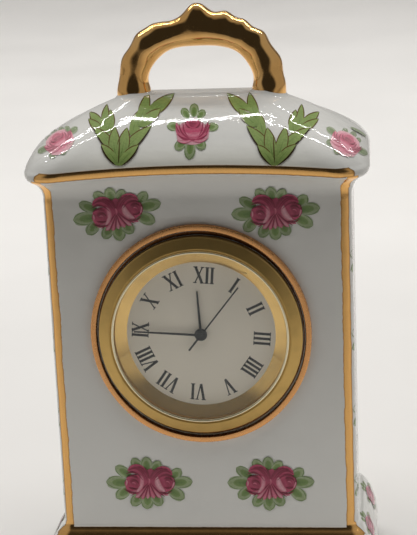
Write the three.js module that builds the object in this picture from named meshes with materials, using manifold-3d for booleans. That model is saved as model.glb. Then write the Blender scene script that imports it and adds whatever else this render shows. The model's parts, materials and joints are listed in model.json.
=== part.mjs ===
// Porcelain table clock: a hollow cast case with a gilt branch handle and a push-in quartz insert.
// Millimetres, +Z up, the front faces -Y, the origin is under the middle of the base.
import * as THREE from "three";
import { mergeVertices } from "three/addons/utils/BufferGeometryUtils.js";
import Module from "manifold-3d";

const wasm = await Module();
wasm.setup();

// Case: plan of the body, heights and the mouldings that stand out from it
const bodyWidth = 61.6;
const bodyDepth = 31;
const bodyCorner = 2.2;
const dialHeight = 56;
const wall = 3.2;
const panelDish = 0.4;
const dishMargin = 3;

const plinthReach = 4.1;
const plinthTop = 4.5;
const plinthBevel = 0.6;
const plinthCorner = 8;
const shoulderSweep = 62;
const panelFoot = 14;
const footRecess = 1;
const rimReach = 0.4;
const cavityCorner = 1.5;

const panelHead = 84;
const coveReach = 2.6;
const coveTop = 87.4;
const coveSweep = 60;
const coveCorner = 5;
const lipReach = 3.7;
const lipHeight = 89.2;
const lipStart = 20;
const lipCorner = 7.5;
const eavesBow = 1.7;
const bowSpan = 20;
const roofTop = 102.8;
const roofTopReach = -15.6;
const roofTopDepthReach = -11.3;
const roofTopCorner = 12.7;
const roofSweep = 0.55;
const roofEase = 2.04;
const roofWall = 2.6;

// Dial opening and the round access hole behind it
const openingStretch = 1.025;
const ringInner = 20.95;
const ringOuter = 22.3;
const ringProud = 0.75;
const seatLevel = -0.6;
const holeRadius = 18.25;
const accessRadius = 14.5;

// Handle: an arch of a knotted branch
const handleHalfSpan = 13.8;
const handleShift = 0.5;
const handleRise = 12.4;
const handlePower = 2.5;
const handleRadius = 2.95;
const handleFlare = 0.18;
const handleRoot = 2.4;
// each knot: place along the arch in degrees, height and spread in degrees
const knots = [
  [24, 0.4, 8],
  [47, 0.8, 8],
  [66, 0.5, 7],
  [91, 2.7, 8],
  [118, 1.0, 9],
  [137, 0.6, 7],
  [160, 0.5, 8],
];

// Insert: radii, and levels in front of (+) or behind (-) the case's front panel
const insertTurn = 5;
const gap = 0.02;
const flangeRadius = 20.65;
const skirtRadius = 18.1;
const boreRadius = 17.75;
const dialRadius = 17.6;
const dialWindow = 15.1;
const dialTop = -0.4;
const dialBack = -0.8;
const glassBack = 1.3;
const glassFront = 2.1;
const rimFront = 2.35;
const cupInner = 16.9;
const cupBack = -9.5;
const coverBack = -10.1;
const holderInner = 13.05;
const holderBack = -7.2;

// Movement: plate, bridge, train and setting work
const plateRadius = 12.95;
const plateFront = -1.9;
const plateBack = -2.8;
const bridgeFront = -5.7;
const bridgeBack = -6.2;
const wheelThickness = 0.25;
const arborRadius = 0.2;
const pivotRadius = 0.12;
const pivotHole = 0.17;
const pillarRadius = 0.8;
const screwRadius = 0.4;
const pillarSpots = [
  [-8.7, 1.0],
  [6.2, 1.5],
  [0.5, -5.5],
];

// Train: teeth and module of each pair, and the bearing of each arbor
const motionModule = 0.16;
const cannonTeeth = 10;
const minuteWheelTeeth = 30;
const minutePinionTeeth = 8;
const hourWheelTeeth = 32;
const motionBearing = -60;

const thirdModule = 0.16;
const secondPinionTeeth = 6;
const thirdWheelTeeth = 45;
const thirdPinionTeeth = 6;
const centreWheelTeeth = 48;
const thirdBearing = 200;

const fifthModule = 0.224;
const secondWheelTeeth = 30;
const fifthPinionTeeth = 6;
const fifthBearing = 60;

const rotorModule = 0.1467;
const fifthWheelTeeth = 36;
const rotorPinionTeeth = 6;
const rotorBearing = 75;

// Hands: clockwise angles from twelve, lengths from the centre
const hourAngle = 352.3;
const minuteAngle = 268.7;
const secondAngle = 34.3;
const hourLength = 9.15;
const minuteLength = 13.6;
const secondLength = 12;
const secondTail = 3.8;

// Setting work, along the three o'clock radius
const stemLevel = -4;
const stemRadius = 0.45;
const stemStart = 8.6;
const crownStart = 13.5;
const crownLength = 2;
const crownRadius = 2;
const crownFlutes = 20;

// Cell
const cellRadius = 3.4;
const cellThickness = 2.58;
const cellSpot = [5.6, -6.2];

// Facets
const wideSteps = 40;
const smallSteps = 14;
const arborSteps = 8;

const radians = THREE.MathUtils.degToRad;
const polar = (radius, degrees) => [
  radius * Math.cos(radians(degrees)),
  radius * Math.sin(radians(degrees)),
];

// Solid helpers
function solidOf(geometry) {
  const bare = geometry.clone();
  bare.deleteAttribute("normal");
  bare.deleteAttribute("uv");
  const merged = mergeVertices(bare, 1e-5);
  const place = merged.attributes.position;
  const corner = new THREE.Vector3();
  const across = new THREE.Vector3();
  const along = new THREE.Vector3();
  const triangles = [];
  let volume = 0;
  for (let i = 0; i < merged.index.count; i += 3) {
    const [a, b, c] = [0, 1, 2].map((k) => merged.index.getX(i + k));
    if (a === b || b === c || c === a) continue;
    triangles.push([a, b, c]);
    corner.fromBufferAttribute(place, a);
    across.fromBufferAttribute(place, b);
    along.fromBufferAttribute(place, c);
    volume += corner.dot(across.cross(along));
  }
  const outward = triangles.map(([a, b, c]) => (volume < 0 ? [a, c, b] : [a, b, c]));
  return new wasm.Manifold(
    new wasm.Mesh({
      numProp: 3,
      vertProperties: new Float32Array(place.array),
      triVerts: new Uint32Array(outward.flat()),
    }),
  );
}

function geometryOf(solid) {
  const mesh = solid.getMesh();
  const geometry = new THREE.BufferGeometry();
  geometry.setAttribute("position", new THREE.BufferAttribute(mesh.vertProperties, 3));
  geometry.setIndex(new THREE.BufferAttribute(mesh.triVerts, 1));
  return geometry;
}

const join = (first, ...others) =>
  geometryOf(others.reduce((whole, piece) => whole.add(solidOf(piece)), solidOf(first)));

const cut = (first, ...tools) =>
  geometryOf(tools.reduce((whole, tool) => whole.subtract(solidOf(tool)), solidOf(first)));

// A profile of [radius, level] points, turned about the dial axis
function turned(profile, steps = wideSteps) {
  const points = profile.map(([radius, level]) => new THREE.Vector2(radius, level));
  points.push(points[0].clone());
  return geometryOf(solidOf(new THREE.LatheGeometry(points, steps).rotateX(Math.PI / 2)));
}

const disc = (radius, back, front, steps = smallSteps) =>
  turned([[0, back], [radius, back], [radius, front], [0, front]], steps);

const ring = (inner, outer, back, front, steps = wideSteps) =>
  turned([[inner, back], [outer, back], [outer, front], [inner, front]], steps);

const peg = (radius, [x, y], back, front, steps = arborSteps) =>
  disc(radius, back, front, steps).translate(x, y, 0);

const block = ([x0, x1], [y0, y1], [z0, z1]) =>
  new THREE.BoxGeometry(x1 - x0, y1 - y0, z1 - z0).translate(
    (x0 + x1) / 2,
    (y0 + y1) / 2,
    (z0 + z1) / 2,
  );

function plate(outline, back, front, holes = []) {
  const shape = new THREE.Shape(outline.map(([x, y]) => new THREE.Vector2(x, y)));
  for (const [[x, y], radius] of holes) {
    shape.holes.push(new THREE.Path().absarc(x, y, radius, 0, 2 * Math.PI));
  }
  const options = { depth: front - back, bevelEnabled: false, curveSegments: arborSteps };
  return new THREE.ExtrudeGeometry(shape, options).translate(0, 0, back);
}

// A toothed outline with one tooth pointing at the given bearing
function gear(teeth, size, bearing, back, front) {
  const pitch = (2 * Math.PI) / teeth;
  const tip = size * (teeth / 2 + 0.9);
  const root = size * (teeth / 2 - 1.1);
  const tooth = [[root, -0.26], [tip, 0], [root, 0.26]];
  const outline = [];
  for (let k = 0; k < teeth; k += 1) {
    for (const [radius, share] of tooth) {
      const angle = radians(bearing) + (k + share) * pitch;
      outline.push([radius * Math.cos(angle), radius * Math.sin(angle)]);
    }
  }
  return plate(outline, back, front);
}

// The driven gear of a pair has a gap where the driver has a tooth
const drivenBearing = (bearing, teeth) => bearing + 180 + 180 / teeth;

const pairDistance = (size, teeth, otherTeeth) => (size * (teeth + otherTeeth)) / 2;

// Case mouldings: each station is a reach outside the body's plan, a height and a corner radius
function arcStations(steps, station) {
  return Array.from({ length: steps + 1 }, (_, k) => station(k / steps));
}

function roofStation(s) {
  const climb = s * s * (roofEase - (roofEase - 1) * s);
  const blend = THREE.MathUtils.lerp;
  return {
    reach: blend(lipReach, roofTopReach, climb),
    depthReach: blend(lipReach, roofTopDepthReach, climb),
    height: blend(lipHeight, roofTop, climb ** roofSweep),
    corner: blend(lipCorner, roofTopCorner, Math.sqrt(s)),
    bow: (1 - s) ** 2,
  };
}

function outerStations() {
  const blend = THREE.MathUtils.lerp;
  const shoulderEnd = radians(shoulderSweep);
  const shoulder = arcStations(5, (s) => {
    const out = (Math.cos(shoulderEnd * s) - Math.cos(shoulderEnd)) / (1 - Math.cos(shoulderEnd));
    const rise = Math.sin(shoulderEnd * s) / Math.sin(shoulderEnd);
    return {
      reach: plinthReach * out,
      height: blend(plinthTop, panelFoot, rise),
      corner: blend(plinthCorner, bodyCorner, s),
    };
  });
  const coveEnd = radians(coveSweep);
  const cove = arcStations(4, (s) => ({
    reach: (coveReach * (1 - Math.cos(coveEnd * s))) / (1 - Math.cos(coveEnd)),
    height: blend(panelHead, coveTop, Math.sin(coveEnd * s) / Math.sin(coveEnd)),
    corner: blend(bodyCorner, coveCorner, s),
    bow: s * s,
  }));
  const start = radians(lipStart);
  const lip = arcStations(3, (s) => {
    const angle = blend(start, Math.PI / 2, s);
    const out = (Math.sin(angle) - Math.sin(start)) / (1 - Math.sin(start));
    return {
      reach: blend(coveReach, lipReach, out),
      height: blend(coveTop, lipHeight, 1 - Math.cos(angle) / Math.cos(start)),
      corner: blend(coveCorner, lipCorner, s),
      bow: 1,
    };
  }).slice(1);
  const roof = arcStations(8, roofStation).slice(1);
  return [
    { reach: plinthReach - plinthBevel, height: 0, corner: plinthCorner },
    { reach: plinthReach, height: plinthBevel, corner: plinthCorner },
    ...shoulder,
    { reach: 0, height: panelFoot + dishMargin, corner: bodyCorner, dish: 1 },
    { reach: 0, height: panelHead - dishMargin, corner: bodyCorner, dish: 1 },
    ...cove,
    ...lip,
    ...roof,
  ];
}

// The cavity follows the outside, with the same rounded corners under the roof
function innerStations() {
  const underRoof = [0.35, 0.55, 0.75, 0.9].map((s) => {
    const { reach, depthReach, height, corner } = roofStation(s);
    const widest = Math.min(corner, bodyDepth / 2 + depthReach);
    return {
      reach: reach - roofWall,
      depthReach: depthReach - roofWall,
      height: height - roofWall,
      corner: widest - roofWall,
    };
  });
  return [
    { reach: rimReach, height: footRecess + wall, corner: plinthCorner - wall },
    { reach: rimReach, height: plinthTop + 2, corner: plinthCorner - wall },
    { reach: -wall, height: panelFoot + 1, corner: cavityCorner },
    { reach: -wall, height: panelHead - 1, corner: cavityCorner },
    { reach: coveReach - wall, height: coveTop, corner: coveCorner - roofWall },
    { reach: lipReach - wall, height: lipHeight, corner: lipCorner - wall },
    ...underRoof,
  ];
}

// One closed ring of points round the plan, counter-clockwise from above
function planRing(station, cornerSteps, sideShares) {
  const { reach, depthReach = reach, height, corner, dish = 0, bow = 0 } = station;
  const halfWidth = bodyWidth / 2 + reach;
  const halfDepth = bodyDepth / 2 + depthReach;
  const radius = Math.min(corner, halfWidth - 0.1, halfDepth - 0.1);
  const signs = [[1, 1], [-1, 1], [-1, -1], [1, -1]];
  const points = [];
  signs.forEach(([sx, sy], quarter) => {
    for (let k = 0; k <= cornerSteps; k += 1) {
      const angle = (quarter + k / cornerSteps) * (Math.PI / 2);
      const x = sx * (halfWidth - radius) + radius * Math.cos(angle);
      const y = sy * (halfDepth - radius) + radius * Math.sin(angle);
      points.push(new THREE.Vector3(x, y, height));
    }
    const [nx, ny] = signs[(quarter + 1) % 4];
    const facing = (quarter + 1) * (Math.PI / 2);
    const start = points[points.length - 1];
    const endX = nx * (halfWidth - radius) + radius * Math.cos(facing);
    const endY = ny * (halfDepth - radius) + radius * Math.sin(facing);
    const length = Math.hypot(endX - start.x, endY - start.y);
    const rise = bow * eavesBow * Math.min(1, length / bowSpan);
    for (const share of sideShares) {
      const x = THREE.MathUtils.lerp(start.x, endX, share) - dish * panelDish * Math.cos(facing);
      const y = THREE.MathUtils.lerp(start.y, endY, share) - dish * panelDish * Math.sin(facing);
      points.push(new THREE.Vector3(x, y, height + rise * (1 - (2 * share - 1) ** 2)));
    }
  });
  return points;
}

// A closed solid through rings of equally many points, capped at both ends
function loft(rings) {
  const count = rings[0].length;
  const vertices = rings.flat();
  const middle = (points) =>
    points.reduce((sum, p) => sum.add(p), new THREE.Vector3()).divideScalar(points.length);
  const firstCap = vertices.push(middle(rings[0])) - 1;
  const lastCap = vertices.push(middle(rings[rings.length - 1])) - 1;
  const lastRow = (rings.length - 1) * count;
  const faces = [];
  for (let i = 0; i < count; i += 1) {
    const next = (i + 1) % count;
    for (let row = 0; row < rings.length - 1; row += 1) {
      const low = row * count;
      const high = low + count;
      faces.push(low + i, low + next, high + next, low + i, high + next, high + i);
    }
    faces.push(firstCap, next, i, lastCap, lastRow + i, lastRow + next);
  }
  const geometry = new THREE.BufferGeometry().setFromPoints(vertices);
  geometry.setIndex(faces);
  return geometry;
}

// Moves a shape from the dial axis frame (z towards the viewer) to the case's own frame
const toFront = (geometry) =>
  geometry.rotateX(Math.PI / 2).translate(0, -bodyDepth / 2, dialHeight);

const outerShell = () =>
  loft(outerStations().map((station) => planRing(station, 4, [0.1, 0.36, 0.64, 0.9])));

function caseGeometry() {
  const cavity = innerStations().map((station) => planRing(station, 3, []));
  const footHollow = [-footRecess, footRecess].map((height) =>
    planRing({ reach: rimReach, height, corner: plinthCorner - wall }, 3, []),
  );
  const bead = turned([
    [ringInner - 0.4, -1.6],
    [ringOuter, -1.6],
    [ringOuter, -0.1],
    [ringOuter - 0.3, 0.45],
    [ringOuter - 0.75, ringProud],
    [ringInner - 0.1, ringProud - 0.15],
    [ringInner - 0.4, 0.2],
  ]).scale(1, openingStretch, 1);
  const recess = disc(ringInner, seatLevel, 6, wideSteps).scale(1, openingStretch, 1);
  const hole = disc(holeRadius, -wall - 4, 1, wideSteps);
  const access = disc(accessRadius, -bodyDepth - 3, -bodyDepth + wall + 3, wideSteps);
  return cut(
    join(outerShell(), toFront(bead)),
    loft(cavity),
    loft(footHollow),
    toFront(recess),
    toFront(hole),
    toFront(access),
  );
}

// Handle: rings of an oval section along a squared arch, with knots on the outer side and feet
// that run down to the slope of the roof
function handleGeometry() {
  const arch = new THREE.Curve();
  arch.getPoint = (share) => {
    const angle = share * Math.PI;
    const power = 2 / handlePower;
    const x = -Math.sign(Math.cos(angle)) * Math.abs(Math.cos(angle)) ** power;
    const z = Math.abs(Math.sin(angle)) ** power;
    return new THREE.Vector3(handleHalfSpan * x, 0, handleRise * z);
  };
  const steps = 38;
  const sides = 10;
  const rings = [];
  for (let k = 0; k <= steps; k += 1) {
    const share = k / steps;
    const centre = arch.getPoint(share);
    const along = arch.getTangent(share, new THREE.Vector3());
    const atFoot = k === 0 || k === steps;
    if (atFoot) along.set(0, 0, k === 0 ? 1 : -1);
    const outward = new THREE.Vector3(-along.z, 0, along.x);
    const degrees = share * 180;
    const knot = knots.reduce(
      (sum, [spot, height, spread]) =>
        sum + height * Math.exp(-(((degrees - spot) / spread) ** 2)),
      0,
    );
    const toFoot = Math.min(share, 1 - share) * 180;
    const swell = 1 + handleFlare * Math.exp(-((toFoot / 7) ** 2));
    const ringPoints = [];
    for (let i = 0; i < sides; i += 1) {
      const angle = (2 * Math.PI * i) / sides;
      const lean = Math.cos(angle);
      const reach = handleRadius * swell * lean + (lean > 0 ? knot * lean : 0);
      const side = (handleRadius - 0.15 + 0.12 * knot) * swell * Math.sin(angle);
      ringPoints.push(centre.clone().addScaledVector(outward, reach).add(new THREE.Vector3(0, side, 0)));
    }
    rings.push(ringPoints);
  }
  const rootOf = (ringPoints) => ringPoints.map((p) => p.clone().setZ(-handleRoot));
  const rooted = [rootOf(rings[0]), ...rings, rootOf(rings[steps])];
  const branch = loft(rooted).translate(handleShift, 0, roofTop);
  return cut(branch, outerShell());
}

// Insert: bezel, glass, reflector, dial, cup, grip ring, holder and back cover
const bezelGeometry = () =>
  turned([
    [skirtRadius, seatLevel + gap],
    [flangeRadius, seatLevel + gap],
    [flangeRadius, 1.1],
    [flangeRadius - 0.2, 1.3],
    [18.45, 2.25],
    [18.2, 2.25],
    [18.12, 2.05],
    [18.0, 2.05],
    [17.92, rimFront],
    [17.45, rimFront],
    [17.45, glassFront + gap],
    [boreRadius, glassFront + gap],
    [boreRadius, -1.6],
    [skirtRadius, -1.6],
  ]);

const glassGeometry = () =>
  turned([
    [0, glassBack],
    [dialRadius - 0.3, glassBack],
    [dialRadius, glassBack + 0.2],
    [dialRadius, glassFront],
    [0, glassFront],
  ]);

const reflectorGeometry = () =>
  turned([
    [dialWindow, dialTop + gap],
    [dialRadius, dialTop + gap],
    [dialRadius, glassBack - gap],
    [17.25, glassBack - gap],
  ]);

const gripGeometry = () =>
  turned([
    [17.65, -3.0],
    [17.95, -3.0],
    [18.15, -2.6],
    [18.15, -2.1],
    [17.95, -1.75],
    [17.65, -1.75],
  ]);

const crownPocket = () => block([12, 17.2], [-2.6, 2.6], [-12, -1.65]);

function holderGeometry() {
  const ringShape = turned([
    [12.2, plateFront + gap],
    [12.2, dialBack - gap],
    [cupInner - 0.1, dialBack - gap],
    [cupInner - 0.1, holderBack],
    [holderInner, holderBack],
    [holderInner, plateFront + gap],
  ]);
  return cut(ringShape, crownPocket());
}

function coverGeometry() {
  const lid = turned([
    [0, coverBack],
    [dialRadius - 0.4, coverBack],
    [dialRadius, coverBack + 0.25],
    [dialRadius, cupBack - gap],
    [cupInner - 0.1, cupBack - gap],
    [cupInner - 0.1, -8.6],
    [cupInner - 1.0, -8.6],
    [cupInner - 1.0, cupBack - gap],
    [0, cupBack - gap],
  ]);
  const notch = block([12.6, 18.5], [-3.2, 3.2], [coverBack - 1, -8]);
  return cut(lid, notch);
}

// Places of the arbors on the plate
const thirdSpot = polar(
  pairDistance(thirdModule, secondPinionTeeth, thirdWheelTeeth),
  thirdBearing,
);
const centreModule =
  (thirdModule * (secondPinionTeeth + thirdWheelTeeth)) / (thirdPinionTeeth + centreWheelTeeth);
const fifthSpot = polar(
  pairDistance(fifthModule, secondWheelTeeth, fifthPinionTeeth),
  fifthBearing,
);
const rotorStep = polar(
  pairDistance(rotorModule, fifthWheelTeeth, rotorPinionTeeth),
  rotorBearing,
);
const rotorSpot = [fifthSpot[0] + rotorStep[0], fifthSpot[1] + rotorStep[1]];
const minuteSpot = polar(
  pairDistance(motionModule, cannonTeeth, minuteWheelTeeth),
  motionBearing,
);

// Levels of the wheels behind the plate, as the back of each
const centreLevel = -3.35;
const thirdLevel = -4.15;
const secondLevel = -4.75;
const fifthLevel = -5.35;
const hourLevel = -1.25;
const minuteLevel = -1.65;
const pinionOverlap = 0.1;

const wheelAt = (teeth, size, bearing, level) =>
  gear(teeth, size, bearing, level, level + wheelThickness);

const pinionAt = (teeth, size, bearing, level) =>
  gear(teeth, size, bearing, level - pinionOverlap, level + wheelThickness + pinionOverlap);

// An arbor between plate and bridge with a thin pivot at each end
const arbor = () =>
  join(
    disc(arborRadius, bridgeFront + 0.05, plateBack - 0.05, arborSteps),
    disc(pivotRadius, bridgeBack + 0.1, plateFront - 0.2, arborSteps),
  );

function centreWheelGeometry() {
  const wheel = wheelAt(centreWheelTeeth, centreModule, thirdBearing, centreLevel);
  const tube = disc(0.42, centreLevel - 0.1, 0.35, smallSteps);
  const bore = disc(0.27, centreLevel - 1, 1, smallSteps);
  return cut(join(wheel, tube), bore);
}

function cannonGeometry() {
  const pinion = pinionAt(cannonTeeth, motionModule, motionBearing, minuteLevel);
  const pipe = disc(0.55, minuteLevel, 0.5, smallSteps);
  return cut(join(pinion, pipe), disc(0.45, -3, 1, smallSteps));
}

function secondWheelGeometry() {
  const wheel = wheelAt(secondWheelTeeth, fifthModule, fifthBearing, secondLevel);
  const pinion = pinionAt(secondPinionTeeth, thirdModule, thirdBearing, thirdLevel);
  const shaft = disc(arborRadius, bridgeFront + 0.05, 0.75, arborSteps);
  const pivot = disc(pivotRadius, bridgeBack + 0.1, 0, arborSteps);
  return join(wheel, pinion, shaft, pivot);
}

function thirdWheelGeometry() {
  const bearing = drivenBearing(thirdBearing, thirdWheelTeeth);
  const pinionBearing = drivenBearing(thirdBearing, thirdPinionTeeth);
  const wheel = wheelAt(thirdWheelTeeth, thirdModule, bearing, thirdLevel);
  const pinion = pinionAt(thirdPinionTeeth, centreModule, pinionBearing, centreLevel);
  return join(wheel, pinion, arbor());
}

function fifthWheelGeometry() {
  const pinionBearing = drivenBearing(fifthBearing, fifthPinionTeeth);
  const wheel = wheelAt(fifthWheelTeeth, rotorModule, rotorBearing, fifthLevel);
  const pinion = pinionAt(fifthPinionTeeth, fifthModule, pinionBearing, secondLevel);
  return join(wheel, pinion, arbor());
}

function rotorGeometry() {
  const bearing = drivenBearing(rotorBearing, rotorPinionTeeth);
  const pinion = pinionAt(rotorPinionTeeth, rotorModule, bearing, fifthLevel);
  const magnet = disc(0.9, -4.4, -3.1, smallSteps);
  return join(pinion, magnet, arbor());
}

function minuteWheelGeometry() {
  const bearing = drivenBearing(motionBearing, minuteWheelTeeth);
  const wheel = wheelAt(minuteWheelTeeth, motionModule, bearing, minuteLevel);
  const pinion = gear(minutePinionTeeth, motionModule, motionBearing + 180, minuteLevel, -0.95);
  const pivot = disc(arborRadius, plateFront - 0.6, -0.9, arborSteps);
  return join(wheel, pinion, pivot);
}

function hourWheelGeometry() {
  const bearing = motionBearing + 180 / hourWheelTeeth;
  const wheel = wheelAt(hourWheelTeeth, motionModule, bearing, hourLevel);
  const pipe = disc(0.85, hourLevel, 0.12, smallSteps);
  return cut(join(wheel, pipe), disc(0.62, -3, 1, smallSteps));
}

function plateGeometry() {
  const round = disc(plateRadius, plateBack, plateFront, wideSteps);
  const bearing = block([11.4, 12.6], [-1, 1], [stemLevel - 0.9, plateBack + 0.1]);
  const pivotHoles = [thirdSpot, fifthSpot, rotorSpot].map((spot) =>
    peg(pivotHole, spot, -4, -1, arborSteps),
  );
  const screwHoles = pillarSpots.map((spot) => peg(screwRadius + 0.05, spot, -4, -1));
  return cut(
    join(round, bearing),
    disc(0.5, -4, -1, smallSteps),
    peg(arborRadius + 0.05, minuteSpot, -4, -1),
    disc(stemRadius + 0.05, 10, 14, 12).rotateY(Math.PI / 2).translate(0, 0, stemLevel),
    ...pivotHoles,
    ...screwHoles,
  );
}

function bridgeGeometry() {
  const outline = [
    [-9.7, 1.7], [-9.5, 0.1], [-8.4, -0.3], [-4.6, -2.8], [-0.5, -6.3], [1.4, -6.3],
    [3.2, -2.0], [6.6, 0.4], [7.2, 1.6], [6.6, 2.6], [4.4, 7.2], [3.4, 8.0], [1.6, 7.6],
    [-1.4, 3.2], [-8.2, 2.1],
  ];
  const pivots = [[0, 0], thirdSpot, fifthSpot, rotorSpot];
  const top = plate(outline, bridgeBack, bridgeFront, pivots.map((spot) => [spot, pivotHole]));
  const pillars = pillarSpots.map((spot) =>
    peg(pillarRadius, spot, bridgeFront - 0.2, plateBack - gap),
  );
  const holes = pillarSpots.map((spot) => peg(screwRadius + 0.05, spot, -7, -2));
  return cut(join(top, ...pillars), ...holes);
}

const screwGeometry = (spot) => {
  const head = peg(0.85, spot, bridgeBack - 0.4, bridgeBack - gap, 12);
  const slot = block([-1, 1], [-0.13, 0.13], [-7, bridgeBack - 0.22]).translate(...spot, 0);
  return cut(join(head, peg(screwRadius, spot, bridgeBack - 0.1, plateBack + 0.4)), slot);
};

// Stepping motor: stator plate with the rotor's hole, core and winding
const coilCentre = [0.5, 9.4];
const coilHalf = 4.1;
const coreHalf = 5.5;
const coilRadius = 0.93;
const statorBack = -3.75;
const statorFront = -3.35;

function statorGeometry() {
  const [cx, cy] = coilCentre;
  const inner = coreHalf - 1.1;
  const outline = [
    [cx - coreHalf, cy + 0.5], [cx - coreHalf, 5.6], [cx - coreHalf + 0.9, 4.7],
    [cx + coreHalf - 0.9, 4.7], [cx + coreHalf, 5.6], [cx + coreHalf, cy + 0.5],
    [cx + inner, cy + 0.5], [cx + inner, 8.2], [cx - inner, 8.2], [cx - inner, cy + 0.5],
  ];
  return plate(outline, statorBack, statorFront, [[rotorSpot, 1.15]]);
}

function coreGeometry() {
  const [cx, cy] = coilCentre;
  const level = [statorBack - 0.4, statorBack - gap];
  return block([cx - coreHalf, cx + coreHalf], [cy - 0.4, cy + 0.4], level);
}

function coilGeometry() {
  const [cx, cy] = coilCentre;
  const level = statorBack - 0.2;
  const winding = disc(coilRadius, -coilHalf, coilHalf, 18)
    .rotateY(Math.PI / 2)
    .translate(cx, cy, level);
  const bore = block([cx - 6, cx + 6], [cy - 0.45, cy + 0.45], [level - 0.25, level + 0.25]);
  return cut(winding, bore);
}

// Circuit: a curved board with the crystal can and the chip on it
const boardBack = plateBack - 0.3;

function boardGeometry() {
  const outline = new THREE.Shape();
  outline.absarc(0, 0, 12.2, radians(190), radians(262), false);
  outline.absarc(0, 0, 7.2, radians(262), radians(190), true);
  const options = { depth: 0.3 - gap, bevelEnabled: false, curveSegments: 8 };
  return new THREE.ExtrudeGeometry(outline, options).translate(0, 0, boardBack);
}

function canGeometry() {
  const [x, y] = polar(9.7, 236);
  const canRadius = 0.72;
  return disc(canRadius, -2.5, 2.5, 12)
    .rotateY(Math.PI / 2)
    .rotateZ(radians(146))
    .translate(x, y, boardBack - canRadius - gap);
}

function chipGeometry() {
  const [x, y] = polar(9.6, 203);
  return block([-1.1, 1.1], [-1.1, 1.1], [boardBack - 0.8, boardBack - gap])
    .rotateZ(radians(203))
    .translate(x, y, 0);
}

// Cell and its spring strap
const cellBack = plateBack - gap - cellThickness;

function cellGeometry() {
  return turned(
    [
      [0, cellBack],
      [cellRadius - 0.7, cellBack],
      [cellRadius - 0.7, cellBack + 0.3],
      [cellRadius, cellBack + 0.5],
      [cellRadius, plateBack - gap],
      [0, plateBack - gap],
    ],
    28,
  ).translate(...cellSpot, 0);
}

function strapGeometry() {
  const [cx, cy] = cellSpot;
  const half = 4.3;
  const top = cellBack - 0.05;
  const wide = [cx - 0.9, cx + 0.9];
  const over = block(wide, [cy - half, cy + half], [top - 0.2, top]);
  const legs = [-1, 1].map((side) => {
    const ends = [cy + side * half, cy + side * (half - 0.25)].sort((a, b) => a - b);
    return block(wide, ends, [top - 0.1, plateBack - gap]);
  });
  return join(over, ...legs);
}

// Setting work: lever in the stem's groove, stem, fluted crown
function leverGeometry() {
  const arm = block([8.5, 10.3], [-1.5, 1.5], [plateBack - 0.25, plateBack - 0.05]);
  const tab = block([9.25, 9.55], [-0.3, 0.3], [stemLevel + 0.38, plateBack - 0.1]);
  return join(arm, tab);
}

const alongStem = (geometry) => geometry.rotateY(Math.PI / 2).translate(0, 0, stemLevel);

function stemGeometry() {
  const neck = 0.25;
  const profile = [
    [0, stemStart],
    [stemRadius, stemStart],
    [stemRadius, 9.1],
    [neck, 9.1],
    [neck, 9.7],
    [stemRadius, 9.7],
    [stemRadius, crownStart + 1],
    [0, crownStart + 1],
  ];
  return alongStem(turned(profile, 12));
}

function crownGeometry() {
  const outline = [];
  for (let k = 0; k < 2 * crownFlutes; k += 1) {
    outline.push(polar(k % 2 ? crownRadius - 0.18 : crownRadius, (k * 180) / crownFlutes));
  }
  const body = plate(outline, crownStart, crownStart + crownLength);
  const bore = disc(stemRadius + 0.05, crownStart - 1, crownStart + 1.1, 12);
  return alongStem(cut(body, bore));
}

// Hands: tapered blades on round hubs, pointing at twelve before they are turned
function handGeometry(angle, length, tail, [rootHalf, tipHalf], hub, bore, [back, front, top]) {
  const blade = plate(
    [[-rootHalf, -tail], [rootHalf, -tail], [tipHalf, length], [-tipHalf, length]],
    back,
    front,
  );
  const boss = disc(hub, back, top, smallSteps);
  const shape = cut(join(blade, boss), disc(bore, back - 1, top + 1, 10));
  return shape.rotateZ(-radians(angle));
}

const hourHandGeometry = () =>
  handGeometry(hourAngle, hourLength, 0.5, [0.28, 0.17], 1.3, 0.87, [-0.05, 0.1, 0.12]);

const minuteHandGeometry = () =>
  handGeometry(minuteAngle, minuteLength, 0.5, [0.25, 0.15], 1.1, 0.57, [0.3, 0.42, 0.45]);

const secondHandGeometry = () =>
  handGeometry(secondAngle, secondLength, secondTail, [0.14, 0.11], 1.2, 0.22, [0.6, 0.7, 0.9]);

// Finishes
const finish = (color, roughness, metalness) => ({ color, roughness, metalness });
const porcelain = finish(0xe9e8e4, 0.12, 0);
const gilt = finish(0xc58a3a, 0.15, 1);
const brass = finish(0xc7a35a, 0.3, 1);
const polishedBrass = finish(0xd8b76a, 0.12, 1);
const glass = { ...finish(0xffffff, 0.05, 0), transparent: true, opacity: 0.2 };
const dialPaint = finish(0xd9d2c2, 0.55, 0);
const black = finish(0x141414, 0.45, 0);
const rubber = finish(0x1d1d1d, 0.8, 0);
const nylon = finish(0xe4e2da, 0.55, 0);
const steel = finish(0xb9bcc0, 0.3, 1);
const nickel = finish(0xcfcfca, 0.25, 1);
const copper = finish(0xb3653a, 0.35, 1);
const board = finish(0x2f6b46, 0.6, 0);

function piece(name, geometry, look) {
  const mesh = new THREE.Mesh(geometry, new THREE.MeshStandardMaterial(look));
  mesh.name = name;
  return mesh;
}

function at(mesh, [x, y]) {
  mesh.position.set(x, y, 0);
  return mesh;
}

// Assembly
const clock = new THREE.Group();
clock.add(piece("porcelain_case", caseGeometry(), porcelain));
clock.add(piece("handle", handleGeometry(), gilt));

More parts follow.
